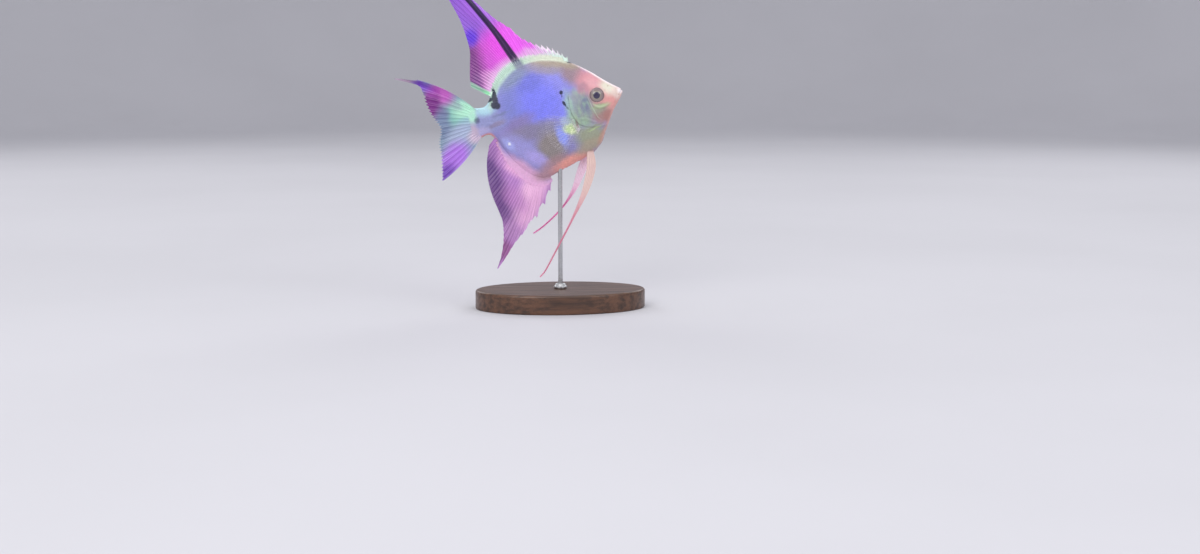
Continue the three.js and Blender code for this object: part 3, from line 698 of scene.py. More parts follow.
def scale_mesh(roots, surface, side, raised, lift, chance):
    """One closed shell for every scale, joined. roots holds (place ahead, place up, size, lean) for each, on
    a surface(ahead, up); lean turns the free edge up from the tail, in radians. A scale is a disc drawn out
    backwards: a point, rings at 0.6 and 0.95 of its radius and its rim above, and one point below. Each is
    set on the surface at its own place, and raised by raised(x, z) and by a slope that rises to the free edge
    and falls off to the sides."""
    turn = np.radians([0, 30, 62, 100, 180, 260, 298, 330])  # closest together round the free edge
    sides = len(turn)
    ring = np.concatenate([[0], *[np.full(sides, r) for r in (0.6, 0.95, 1.0)], [0]])
    angle = np.concatenate([[0], turn, turn, turn, [0]])
    back = ring * np.cos(angle)  # 1 at the free edge, towards the tail
    across = ring * np.sin(angle)
    under = np.concatenate([np.zeros(1 + 2 * sides), np.full(sides + 1, 1.0)])
    size = roots[:, 2:3]
    wide = size * (0.62 + chance.uniform(-0.02, 0.02, size.shape))
    long = size * (0.98 + chance.uniform(-0.04, 0.04, size.shape))
    tilt = roots[:, 3:4] + chance.normal(0, 0.03, size.shape)
    ahead = roots[:, :1] - long * back * np.cos(tilt) + wide * across * np.sin(tilt)
    up = roots[:, 1:2] + long * back * np.sin(tilt) + wide * across * np.cos(tilt)
    at = surface(ahead, up)
    step = 0.15
    forwards = surface(ahead + step, up) - surface(ahead - step, up)
    upwards = surface(ahead, up + step) - surface(ahead, up - step)
    normal = side * unit(np.cross(forwards, upwards))
    normal *= np.where(normal[..., 1:2] * side < 0, -1, 1)
    firm = ramp(size, 0.3, 1.0)  # small scales lie flatter
    slope = size * firm * (lift * (0.5 + 0.5 * back) - 0.06 * across**2 - 0.012 * (ring == 1)) - 0.02
    thick = 0.05 * size
    points = at + normal * (raised(at[..., 0], at[..., 2]) + slope - thick * under)[..., None]

    n = len(ring)
    pairs = grid_faces(3, sides, ring=True) + 1
    rim = np.arange(1 + 2 * sides, 1 + 3 * sides)
    one = [fan_faces(0, np.arange(1, sides + 1)), pairs, fan_faces(n - 1, rim[::-1])]
    shift = (np.arange(len(roots)) * n)[:, None, None]
    faces = [(group[None] + shift).reshape(-1, group.shape[1]) for group in one]
    luck = chance.uniform(0, 1, size.shape) + 0 * back
    scale = np.stack([back + 0 * luck, across + 0 * luck, luck], -1).reshape(-1, 3)
    return points.reshape(-1, 3), faces, scale


# Where small scales run out over a fin's root: the body's line, which way is inwards, its first and last x,
# how far out they reach at each x, how much the fin strays to the left, and how far their edges lean out.
SHEATHS = (
    (back_line, -1, (-30.5, 13), smooth([(-30.5, 0.9), (-22, 1.9), (-4, 2.2), (13, 0.5)]), 0.006, 0.5),
    (belly_line, 1, (-33.4, -7.6), smooth([(-33.4, 1), (-28, 2.8), (-16, 4.4), (-7.6, 2.4)]), -0.003, 0.6),
)
SHEATH_START = -0.9  # the first row lies this far out from the body's line


def along_line(line, ends):
    """Lengths along the back or belly line between two x, and the x at each, from 400 short chords."""
    x = np.linspace(*ends, 400)
    return np.r_[0, np.cumsum(np.hypot(np.diff(x), np.diff(line(x))))], x


def sheath_surface(sheath, side):
    """The surface over a fin's root, from the length along the body's line and the height square to it. Half
    its thickness is that of the fin's rays: a bell about the root over a slab."""
    line, inward, ends, _, stray, _ = sheath
    lengths, places = along_line(line, ends)

    def surface(ahead, up):
        out = -inward * up
        x = np.interp(ahead, lengths, places)
        rise = line(x + 0.5) - line(x - 0.5)
        run = np.hypot(1, rise)
        half = 0.27 + ROOT_SWELL * bump(out + ROOT_DEPTH, SWELL_REACH)
        y = side * half + stray * (out + ROOT_DEPTH) ** 2
        return np.stack([x + inward * out * rise / run, y, line(x) - inward * out / run], -1)

    return surface


def sheath_roots(sheath, pitch, chance):
    """Where the small scales over a fin's root grow: rows beside the body's line that reach out unevenly."""
    line, inward, ends, reach, _, lean = sheath
    lengths, places = along_line(line, ends)
    ahead, out = np.meshgrid(
        np.arange(pitch, lengths[-1] - pitch, pitch), np.arange(SHEATH_START, 6, 1.05 * pitch), indexing="ij"
    )
    ahead = (ahead + 0.5 * pitch * (np.arange(out.shape[1]) % 2)).ravel()
    out = out.ravel()
    ahead = ahead + chance.normal(0, 0.05, ahead.shape) * pitch
    limit = reach(np.interp(ahead, lengths, places)) + chance.normal(0, 0.25, ahead.shape)
    size = 1.2 * pitch * (1 - 0.3 * ramp(out, 0, 5))
    found = np.stack([ahead, -inward * out, size, np.full(len(ahead), -inward * lean)], -1)
    return found[out < limit]


# ---------------------------------------------------------------- building nodes
def colour(code):
    """A colour written as #rrggbb, as the four linear numbers that a socket holds."""
    parts = np.array([int(code[i:i + 2], 16) for i in (1, 3, 5)]) / 255
    linear = np.where(parts < 0.04045, parts / 12.92, ((parts + 0.055) / 1.055) ** 2.4)
    return (*linear, 1.0)


def spaced(links):
    """Socket names written with _ for each space, as they are."""
    return {name.replace("_", " "): value for name, value in links.items()}


class Net:
    """A node tree as it is built. Each value given to it is a plain one or another node's output."""

    def __init__(self, tree, material=None):
        self.tree = tree
        self.material = material

    def feed(self, socket, value):
        if isinstance(value, bpy.types.NodeSocket):
            self.tree.links.new(value, socket)
        else:
            socket.default_value = value

    def put(self, kind, links=None, **settings):
        """Adds a node with its properties and its inputs, by name or number. Returns its outputs."""
        made = self.tree.nodes.new("ShaderNode" + kind)
        for name, value in settings.items():
            setattr(made, name, value)
        for name, value in (links or {}).items():
            self.feed(made.inputs[name], value)
        return made.outputs

    def use(self, group, **links):
        """Adds a copy of a node group, which is built the first time it is asked for. Returns its outputs."""
        return self.put("Group", spaced(links), node_tree=bpy.data.node_groups.get(group) or GROUPS[group]())

    def math(self, operation, *values, clamp=False):
        return self.put("Math", dict(enumerate(values)), operation=operation, use_clamp=clamp)[0]

    def times(self, first, *others):
        for other in others:
            first = self.math("MULTIPLY", first, other)
        return first

    def ramp(self, value, low, high, start=0.0, end=1.0):
        """A value carried from low..high to start..end along a smooth S."""
        links = {"Value": value, "From Min": low, "From Max": high, "To Min": start, "To Max": end}
        return self.put("MapRange", links, interpolation_type="SMOOTHSTEP")[0]

    def vector(self, operation, *values, out="Vector", **links):
        return self.put("VectorMath", {**dict(enumerate(values)), **links}, operation=operation)[out]

    def noise(self, at, scale, detail, roughness=0.5, out=0):
        links = {"Vector": at, "Scale": scale, "Detail": detail, "Roughness": roughness}
        return self.put("TexNoise", links)[out]

    def here(self):
        """The point's own place on its object."""
        return self.put("TexCoord")["Object"]

    def scaled(self, at, *scale):
        return self.put("Mapping", {"Vector": at, "Scale": scale})[0]

    def parts(self, name):
        """The three numbers of a vector attribute."""
        return self.put("SeparateXYZ", {0: self.put("Attribute", attribute_name=name)["Vector"]})

    def mix(self, share, ground, over, way="MIX"):
        """The ground colour, with the other laid over it by a share from 0 to 1."""
        return self.put("MixRGB", {"Fac": share, "Color1": ground, "Color2": over}, blend_type=way)[0]

    def toned(self, paint, tone):
        """Paint made lighter or darker: multiplied by a tone about 1."""
        return self.mix(1.0, paint, self.put("CombineXYZ", {0: tone, 1: tone, 2: tone})[0], "MULTIPLY")

    def wash(self, paint, code, *shares):
        """Paint with a colour over it, by the product of shares. Each is a value or the values of a ramp."""
        shares = [self.ramp(*share) if isinstance(share, tuple) else share for share in shares]
        return self.mix(self.times(*shares), paint, colour(code))

    def patch(self, at, x, z, long, high, turn=0, strength=0.9, soft=0.6):
        """A soft patch's mask: its centre, its half length and half height, the degrees that its front end is
        turned up, its strength and its softness."""
        return self.use(
            "Soft Patch", Place=at, Centre=(x, 0, z), Size=(long, 1, high), Turn=math.radians(turn),
            Softness=soft, Strength=strength,
        )["Mask"]

    def patches(self, at, paint, layers):
        """Lays soft patches over paint, in order. A layer is a colour and what patch() takes."""
        for code, *shape in layers:
            paint = self.mix(self.patch(at, *shape), paint, colour(code))
        return paint

    def finish(self, paint, bump=None, **inputs):
        """Feeds the Principled shader its paint, a Bump's (height, strength, distance) and other inputs."""
        inputs = {"Base Color": paint, **spaced(inputs)}
        if bump:
            inputs["Normal"] = self.put("Bump", dict(zip(("Height", "Strength", "Distance"), bump)))[0]
        for name, value in inputs.items():
            self.feed(self.tree.nodes["Principled BSDF"].inputs[name], value)
        return self.material


def new_material(name):
    """A new material with its Principled shader, as a net to build on."""
    material = bpy.data.materials.new(name)
    material.use_nodes = True
    return Net(material.node_tree, material)


def new_group(name, inputs, outputs):
    """An empty node group: inputs are {name: (kind, default)} and outputs {name: kind}. Returns its net, the
    values given to it and the sockets that it feeds."""
    tree = bpy.data.node_groups.new(name, "ShaderNodeTree")
    for label, (kind, value) in inputs.items():
        socket = tree.interface.new_socket(label, in_out="INPUT", socket_type="NodeSocket" + kind)
        socket.default_value = value
    for label, kind in outputs.items():
        tree.interface.new_socket(label, in_out="OUTPUT", socket_type="NodeSocket" + kind)
    return Net(tree), tree.nodes.new("NodeGroupInput").outputs, tree.nodes.new("NodeGroupOutput").inputs


def build_place_group():
    """Fish Place: where a point lies on the level fish, in millimetres, and the same strayed by a noise."""
    inputs = {"Stray": ("Float", 0.6), "Grain": ("Float", 0.6)}
    net, given, out = new_group("Fish Place", inputs, {"Place": "Vector", "Ragged": "Vector"})
    links = {"Location": tuple(FISH_AT), "Rotation": (0, -PITCH, 0), "Scale": (MM, MM, MM)}
    at = net.put("Mapping", {"Vector": net.here(), **links}, vector_type="TEXTURE")[0]
    level = net.vector("SUBTRACT", net.noise(at, given["Grain"], 3.0, out="Color"), (0.5, 0.5, 0.5))
    stray = net.vector("SCALE", level, Scale=net.times(given["Stray"], 4.0))
    net.feed(out["Place"], at)
    net.feed(out["Ragged"], net.vector("ADD", at, stray))
    return net.tree


def build_patch_group():
    """Soft Patch: a mask that is 1 inside an ellipse in the fish's side view and fades out over its edge."""
    inputs = {
        "Place": ("Vector", (0, 0, 0)), "Centre": ("Vector", (0, 0, 0)), "Size": ("Vector", (1, 1, 1)),
        "Turn": ("Float", 0.0), "Softness": ("Float", 0.5), "Strength": ("Float", 1.0),
    }
    net, given, out = new_group("Soft Patch", inputs, {"Mask": "Float"})
    links = {"Vector": given["Place"], "Center": given["Centre"], "Angle": given["Turn"]}
    turned_back = net.put("VectorRotate", links, rotation_type="Y_AXIS")[0]
    flat = net.vector("MULTIPLY", net.vector("SUBTRACT", turned_back, given["Centre"]), (1, 0, 1))
    length = net.vector("LENGTH", net.vector("DIVIDE", flat, given["Size"]), out="Value")
    low, high = net.math("SUBTRACT", 1.0, given["Softness"]), net.math("ADD", 1.0, given["Softness"])
    net.feed(out["Mask"], net.times(net.ramp(length, low, high, 1.0, 0.0), given["Strength"]))
    return net.tree


# A layer is (colour, x, z, half length, half height, turn in degrees, strength, softness).
FLANK_PATCHES = (
    ("#8086d0", -19, 7, 11, 15, 0, 0.95),
    ("#9593e8", 6, 10, 9, 10),
    ("#8b8ef6", 1, -3, 9, 9, 0, 0.9, 0.5),
    ("#8184f6", -6, 4, 11, 13, 0, 1),  # the blue heart of the flank
    ("#7276d8", -9, 15.4, 7, 5, 10, 0.8),
    ("#828fae", -17, 20.6, 10, 4.5, 30, 0.85),  # grey blue under the back
    ("#9e94a8", 5, 21.4, 14, 3.8, -14, 0.9, 0.5),  # mauve
    ("#aa9c8d", 7, 25, 16, 4, -14, 0.95, 0.45),  # tan back
    ("#8d7fb6", -21, -7, 10, 4, 24),  # the violet edge of the blue
    ("#8b82a0", -16, -12, 13, 4.6, 8, 0.9, 0.5),  # grey lower flank
    ("#8d899f", -2, -13, 8, 6, 0, 0.8),
    ("#928883", -4, -22.5, 9, 8.5, 0, 0.95, 0.5),  # olive belly
    ("#959ac8", -36, -1.5, 9, 6, 0, 0.9, 0.5),  # tail stalk
    ("#9288ab", -32, -3.8, 5, 1.2, 10),
    ("#757da6", -28.5, 1.1, 4.6, 0.7, 8, 0.7, 0.7),
    ("#abd3e4", -37, 5.4, 6, 3.2, 0, 0.95),
    ("#9f9ad8", -21, -19.5, 11, 5, -45, 0.95),  # silver-blue streaks over the anal fin
    ("#adb2ef", -27.4, -16.4, 4.4, 1.9, -58),
    ("#b4a6e8", -13, -27.6, 7, 3.4, -36),
    ("#e4b2d8", -21.4, -33, 14, 3.8, -47, 1),
    ("#94a2fa", 3.2, -17.4, 2.8, 6, 12, 1),  # blue behind the breast fin
    ("#b0c2da", 7, -11, 2.6, 4, 30, 0.8),
    ("#b08b88", -2, -32, 9, 4, 10, 0.8),
    ("#b9909c", -8, -37.4, 9, 4, 8, 0.95),
    ("#f2a699", 7, -33.4, 12, 4, 16, 0.95, 0.5),  # salmon belly edge
    ("#a3c2bb", 10.6, -3, 2.6, 8.5, 4, 0.9, 0.7),  # mint shoulder
    ("#a9c6a6", 12, -11, 3.6, 5),
    ("#cbe79e", 9, -15, 4.4, 2.8, -20, 0.95, 0.5),  # yellow-green with a painted glint, by the breast fin
)
# Laid over those: the head, and small parts of the body.
HEAD_PATCHES = (
    ("#cf9b9a", 33, 0, 12.5, 16, 0, 1, 0.35),  # the head's ground
    ("#a1a68b", 19, -20.6, 9, 6, 0, 0.95, 0.5),  # olive breast
    ("#aea28c", 18, -26.4, 9, 3.6, 14),
    ("#c39a86", 26.4, -22, 6, 1.8, 52),  # throat
    ("#99a49d", 18, -6, 6, 9, 0, 0.95, 0.5),  # grey-green gill cover
    ("#a3aaa8", 15.6, 2.6, 4, 4.2, 0, 0.85),
    ("#7a7f9c", 19.4, -2.6, 2.6, 5, -8),
    ("#9cb79a", 16.5, -12, 4, 2.4, -20, 0.8),
    ("#9c838c", 16, 16, 6, 6.5, 20, 0.95, 0.5),  # nape
    ("#a89a86", 15, 21.4, 7, 3, -25, 0.8, 0.5),
    ("#d8949c", 22.6, 10, 5.6, 6.4, -20, 0.95),  # salmon forehead
    ("#e3a3ab", 27.4, 9, 5, 4.4, -30),
    ("#b88b9a", 19.6, 6.8, 3, 3, 0, 0.8),
    ("#a98581", 27.6, -10.6, 5.4, 4.2, 20, 0.95),  # brown lower cheek
    ("#e8a39e", 34, -2.6, 4.4, 5.4, 25, 0.95),  # salmon under the eye
    ("#f0b3ae", 32.4, 2.4, 2.4, 3.4, 0, 0.7),
    ("#b27d76", 31.4, -12, 3.4, 2.4, 50, 0.8),
    ("#9c9d8c", 26.6, -7, 4.4, 2.4, 8),
    ("#aebe92", 28.2, -5.7, 4.8, 1.2, 4),  # the bright arc under the eye
    ("#b9c99c", 25.6, -4.9, 2.2, 0.5, -34, 0.7, 0.7),
    ("#b3c4ab", 23.4, -7, 3.6, 0.3, -70, 0.7, 0.7),  # the pale edge of the cheek
    ("#f3f5ff", -26.9, -16.3, 1, 0.6, -50),  # a painted glint over the anal fin
    ("#b8b0da", -40.5, -6.4, 5, 2.4, -6),
    ("#baf0d6", -45, 4.4, 3, 5.4, 0, 0.95, 0.5),  # the tail fin's colours on the body's end
    ("#c6b2c6", -45.4, -6, 3, 4.6, 0, 0.9, 0.5),
    ("#e6e2cd", 35.4, 4, 5.6, 4, -38, 0.95),  # cream snout
    ("#ead2c8", 38.6, -0.4, 3.4, 2.6, -60),
    # A painted highlight on the lips.
    ("#fbf1f3", 41.4, 0.8, 1.9, 2, 0, 0.95),
    ("#8f9472", 22, -16.2, 5.4, 0.5, 14, 0.6, 0.5),
    ("#b6c990", 22.6, -17.4, 4.4, 0.5, 12, 0.85),
    ("#8c6766", 12.7, -13, 0.7, 3.4, 4, 0.9, 0.5),  # under the breast fin's root
)
# The black blotches: on the shoulder, before the tail stalk, on the tail root and on the nape.
DARK_MARKS = (
    (7.3, 6.4, 1, 1.1, 0, 0.95, 0.3), (7.2, 4.5, 0.4, 0.9, 0, 0.6), (7.7, 0, 1.7, 0.75, -70, 0.95, 0.3),
    (9.1, -2.7, 1.1, 0.45, -65, 0.5), (-29.6, 13, 1.1, 3.6, 0, 0.97, 0.25),
    (-29.9, 9.4, 1.7, 3.8, 0, 0.97, 0.25), (-29.4, 6.2, 2, 1.9, 0, 0.97, 0.3),
    (-31.4, 6.8, 1.4, 2, 10, 0.97, 0.3), (-32.9, 10.2, 2.2, 1.1, 8, 0.95, 0.3),
    (-42.1, 0.4, 1.5, 1.6, 0, 0.62, 0.5), (15.7, 22.3, 1.7, 0.8, -32, 0.9, 0.35),
)
# Where a few scales carry painted glints, by the breast fin: a patch as patch() takes it.
PAINTED_GLINT = (9.2, -15, 4.2, 2.8, -17.2, 1)
BACK_FIN_PATCHES = (
    ("#ff62ff", -13, 42, 11, 9, -30, 1), ("#fa52f4", -25, 39, 6, 9, 20, 0.7, 0.7),
    ("#d45ad4", -29, 33, 4, 9, 10, 0.6, 0.7), ("#793080", -41.4, 31, 8.8, 21, -2, 1, 0.5),
    ("#ffb8f2", -30.2, 21, 4.6, 5.4, 40, 0.95), ("#9a69e8", -36, 61, 14, 16, 0, 0.95, 0.45),
    ("#b46cee", -28, 60, 7, 12, 50, 0.8), ("#6534e8", -35.6, 46.6, 3.8, 4.4, 0, 1),
    ("#f6b4f4", -3, 32.4, 5, 2.2, -22), ("#e6cdea", 4.6, 32.6, 6, 3.4, -24),
    ("#f46cf6", -4.6, 36.4, 4, 2, -30), ("#7d5a8e", -37.4, 22, 3, 4.4, 0, 0.8),
)
ANAL_FIN_PATCHES = (
    ("#ffc8ee", -18, -43, 21, 6.6, 52, 1), ("#d8a4d0", -8, -41, 3, 6, 10, 0.5),
    ("#ffc0ec", -27, -29, 10, 4.4, -50, 0.95), ("#f6bce6", -22, -55, 12, 4, 52),
    ("#6a428a", -43, -33, 8.4, 19, 3, 1, 0.5), ("#6a3e84", -40.5, -49, 8, 12, 0, 0.95),
    ("#c988cc", -30, -48, 5, 8, 30, 0.8, 0.7), ("#a9659e", -42, -75, 5, 9, 30, 0.9, 0.7),
    ("#c794cc", -35, -67, 4, 7, 30, 0.8, 0.7), ("#a874b8", -37.4, -18.6, 3, 4, 0, 0.7),
    ("#c98fd4", -33, -24.6, 3, 4, -40, 0.6, 0.7),
)
TAIL_FIN_PATCHES = (
    ("#8cc9bd", -54, 5.4, 7, 5.4, -28, 0.95), ("#bdf6d8", -47.4, 7.2, 7, 5.6, -28, 1),
    ("#a2c4c0", -52, 10.8, 3.8, 2, -35), ("#8fc6ca", -49, 1.6, 3.6, 1.8, -6, 0.8),
    ("#d064ca", -59, 19, 7, 6, -35, 0.97, 0.5), ("#7a68a0", -61, 8, 3.6, 3.6, 0, 0.9, 0.7),
    ("#841c8a", -65.2, 14.4, 5.2, 8, 0, 1, 0.5),
    ("#b448b8", -63.6, 21.8, 4, 3, -30, 0.95),
    ("#8650cc", -70, 26.6, 7, 3, -30, 1), ("#cdb4cc", -80, 31.6, 8.4, 3.4, -15, 1, 0.4),
    ("#7a8bae", -61, 1, 4, 9), ("#b6c2e0", -54, -5.6, 9, 5, 35),
    ("#c07cf4", -59, -17.6, 10, 7, 35, 0.97, 0.5), ("#7f42c0", -66, -26.4, 7, 4.6, 45, 0.95),
    ("#d8c2d8", -44.6, -8.6, 4.4, 3.6, 0, 0.95),
)
# Each feeler's broad part and thread. The left one's colours are lighter than the right's: painted light that
# makes up for the shade it sits in.
FEELER_COLOURS = {"right": ("#e4c6bd", "#ea92b2"), "left": ("#ffe2f6", "#ff8fd0")}


def build_body_group():
    """Body Paint: the colours and markings of the body, which its skin and its scales share, with painted
    highlights along its top edge, and the mask of the scales' painted glints.
    """
    inputs = {"Ground": ("Color", (0.5, 0.5, 0.8, 1))}
    net, given, out = new_group("Body Paint", inputs, {"Color": "Color", "Painted Glint": "Float"})
    where = net.use("Fish Place", Stray=0.55, Grain=0.35)
    fine = net.use("Fish Place", Stray=0.28, Grain=1.1)["Ragged"]
    at = where["Ragged"]
    paint = net.patches(at, given["Ground"], FLANK_PATCHES + HEAD_PATCHES)
    # The gill cover's sheen: mint and slate blotches, taller than they are long.
    cover = net.patch(at, 17, -5, 8, 11, 0, 0.55, 0.5)
    tall = net.scaled(where["Place"], 0.42, 0.42, 0.2)
    for seed, code, most in ((3.0, "#a9cfa6", 1.0), (8.0, "#7e85a2", 0.6)):
        links = {"Vector": tall, "W": seed, "Scale": 1.0, "Detail": 3.0}
        blotches = net.put("TexNoise", links, noise_dimensions="4D")[0]
        paint = net.wash(paint, code, cover, (blotches, 0.44, 0.72, 0, most))

    below, above, streak = net.parts("outline")
    x = net.put("SeparateXYZ", {0: at})[0]
    # A mint sheath along the back fin's root.
    depth = net.math("DIVIDE", below, net.ramp(x, -24, -4, 4.8, 2.2))
    ends = net.ramp(x, 12, 17, 1, 0), net.ramp(x, -36, -32, 0.2, 1)
    sheath = net.times(net.ramp(depth, 0.25, 1, 1, 0), *ends, 0.9)
    paint = net.mix(sheath, paint, net.mix(net.ramp(x, -16, 2), colour("#bcdcc4"), colour("#dfe8d2")))
    # Painted highlights along the top edge: white from the nape to the snout, pale cyan on the tail stalk.
    paint = net.wash(paint, "#f6e2e4", (below, 0.2, 1.7, 1, 0), (x, 14, 25), 0.9)
    paint = net.wash(paint, "#c2ecf4", (below, 0.1, 1.3, 1, 0), (x, -34, -31, 1, 0))
    # A salmon line under the tail root, and another on the throat.
    paint = net.wash(paint, "#ee9a86", (above, 0.1, 1.6, 0.9, 0), (x, -36, -31, 1, 0))
    paint = net.wash(paint, "#dca59b", (above, 0.3, 2.2, 0.8, 0), (x, 20, 28), (x, 37, 40.5, 1, 0))
    # The dark streak's foot on the back.
    paint = net.wash(paint, "#787a94", (streak, 1.2, 3.8, 1, 0), (below, 0.5, 6, 0.9, 0))
    paint = net.wash(paint, "#3a3458", (streak, 1.6, 2.5, 1, 0), (below, -2.4, -0.4, 0.8, 0))
    # The small scales over the fins' roots fade to the fins' own colours.
    paint = net.wash(paint, "#f2b8e0", (above, -4.0, 1.2, 0.9, 0), (x, -38, -33))
    paint = net.wash(paint, "#e6d8e4", (below, -2.6, -0.6, 0.6, 0), (streak, 2.5, 5))
    dark = 0.0
    for mark in DARK_MARKS:
        dark = net.math("MAXIMUM", dark, net.patch(fine, *mark))
    net.feed(out["Color"], net.wash(paint, "#22263f", dark))
    # The mask of the scales' painted glints.
    net.feed(out["Painted Glint"], net.patch(fine, *PAINTED_GLINT))
    return net.tree


def build_grain_group():
    """Fine Grain: a noise over the fish, as a level about 0, from its place in millimetres."""
    inputs = {"Size": ("Float", 1.0), "Strength": ("Float", 0.1)}
    net, given, out = new_group("Fine Grain", inputs, {"Level": "Float", "Height": "Float"})
    height = net.noise(net.use("Fish Place")["Place"], net.math("DIVIDE", 1.0, given["Size"]), 4.0, 0.6)
    net.feed(out["Level"], net.times(net.math("SUBTRACT", height, 0.5), given["Strength"]))
    net.feed(out["Height"], height)
    return net.tree


def build_ray_group():
    """Fin Rays: a fin's colour from its paint. Rays are paler and the web between them deeper, each partly in
    the paint's own hue. The rays' joints make a fine height along them."""
    inputs = {
        "Paint": ("Color", (1, 1, 1, 1)), "Ray": ("Color", (1, 1, 1, 1)), "Web": ("Color", (0, 0, 0, 1)),
        "Ray Share": ("Float", 0.4), "Web Share": ("Float", 0.3),
    }
    net, given, out = new_group("Fin Rays", inputs, {"Color": "Color", "Height": "Float", "Crest": "Float"})
    crest, rise, along = net.parts("fin")
    grain = net.use("Fine Grain", Size=1.6, Strength=0.5)["Level"]
    on_ray = net.ramp(net.math("ADD", crest, grain), 0.2, 0.85)
    contrast = net.ramp(along, 0.1, 0.9, 0.45, 1.25)
    web = net.times(net.math("SUBTRACT", 1.0, on_ray), given["Web Share"])
    web = net.math("MULTIPLY", web, contrast, clamp=True)
    deep = net.mix(1.0, given["Paint"], (0.3, 0.3, 0.3, 1), "MULTIPLY")
    paint = net.mix(web, given["Paint"], net.mix(0.5, given["Web"], deep))
    share = net.times(on_ray, given["Ray Share"], contrast, net.ramp(net.parts("rays")[2], 0, 1, 0.5, 1.2))
    bright = net.mix(1.0, given["Paint"], (1.8, 1.8, 1.8, 1), "MULTIPLY")
    net.feed(out["Color"], net.mix(share, paint, net.mix(0.5, given["Ray"], bright)))
    net.feed(out["Height"], net.times(net.math("SINE", net.times(rise, 7.5)), on_ray, 0.5))
    net.feed(out["Crest"], on_ray)
    return net.tree


GROUPS = {
    "Fish Place": build_place_group, "Soft Patch": build_patch_group, "Body Paint": build_body_group,
    "Fine Grain": build_grain_group, "Fin Rays": build_ray_group,
}


# ---------------------------------------------------------------- materials
def skin_material(look):
    """Moist skin: the body's paint, with painted shade in its folds and a pale mint painted highlight on its
    ridges, and a fine uneven gloss.
    """
    net = new_material("moist_skin")
    crease_shade, ridge, _ = net.parts("form")
    # Painted shade in the folds, then a pale mint painted highlight on the ridges.
    paint = net.wash(net.use("Body Paint", Ground=(*look.flank, 1))["Color"], "#5d4a4c", crease_shade, 0.55)
    paint = net.wash(paint, "#dbe6cc", ridge, 0.22)
    paint = net.toned(paint, net.math("ADD", 1.0, net.use("Fine Grain", Size=2.2, Strength=0.3)["Level"]))
    rough = net.use("Fine Grain", Size=0.8, Strength=0.3)
    return net.finish(
        paint, (rough["Height"], 0.25, 0.0002), Roughness=net.math("ADD", 0.36, rough["Level"]),
        Coat_Weight=0.35, Coat_Roughness=0.12, Specular_IOR_Level=0.45, Subsurface_Weight=0.12,
        Subsurface_Scale=0.004, Subsurface_Radius=(1.0, 0.5, 0.4),
    )


def scale_material(look):
    """Pearly scales: the body's paint, each scale a little lighter or deeper than the next, with painted
    shade along its sides where its neighbours overlap it, a paler free edge that is partly its translucent
    rim and partly painted highlight, and painted glints on a few scales."""
    net = new_material("pearly_scale")
    body = net.use("Body Paint", Ground=(*look.flank, 1))
    back, across, luck = net.parts("scale")
    # Painted shade along each scale's sides, where its neighbours overlap it; the free edge is paler, partly
    # its translucent rim and partly painted highlight.
    sides = net.ramp(net.math("ABSOLUTE", across), 0.4, 1.0, 1.02, 0.95)
    tone = net.times(net.ramp(luck, 0, 1, 0.95, 1.05), sides, net.ramp(back, -0.2, 0.9, 0.97, 1.03))
    # Painted glints: a few lucky scales washed pale where the glint mask lies.
    paint = net.wash(net.toned(body["Color"], tone), "#f6ffd2", (luck, 0.5, 0.9), body["Painted Glint"], look.painted_glint)
    return net.finish(
        paint, (net.use("Fine Grain", Size=0.35, Strength=0.3)["Height"], 0.2, 0.0001), Roughness=0.4,
        Metallic=0.12, Coat_Weight=0.28, Coat_Roughness=0.2, Specular_IOR_Level=0.45,
    )


def eye_material(look):
    """A wet eye: a navy pupil with a pale rim, a grey-olive iris with fine spokes, and a dark outer ring."""
    net = new_material("wet_eye")
    off = net.vector("SUBTRACT", net.use("Fish Place")["Place"], (EYE["x"], 0, EYE["z"]))
    flat = net.vector("MULTIPLY", off, (1, 0, 1))
    radius = net.vector("LENGTH", flat, out="Value")
    spokes = net.noise(net.vector("NORMALIZE", flat), 9.0, 5.0)
    paint = net.mix(net.ramp(spokes, 0.35, 0.65), colour("#8d847b"), (*look.iris, 1))
    pupil = EYE["pupil"]
    for code, *band in (
        ("#8c777c", 2.5, 3.1, 0, 0.85), ("#72605f", 3.5, 3.9, 0, 0.7),
        ("#b0a898", pupil + 0.12, pupil + 0.45, 0.25, 0), ("#2c2346", pupil - 0.08, pupil + 0.14, 1, 0),
    ):
        paint = net.wash(paint, code, (radius, *band))
    gloss = {"Coat_Weight": 0.8, "Coat_Roughness": 0.06, "Specular_IOR_Level": 0.5}
    return net.finish(paint, (spokes, 0.2, 0.0002), Roughness=0.35, **gloss)


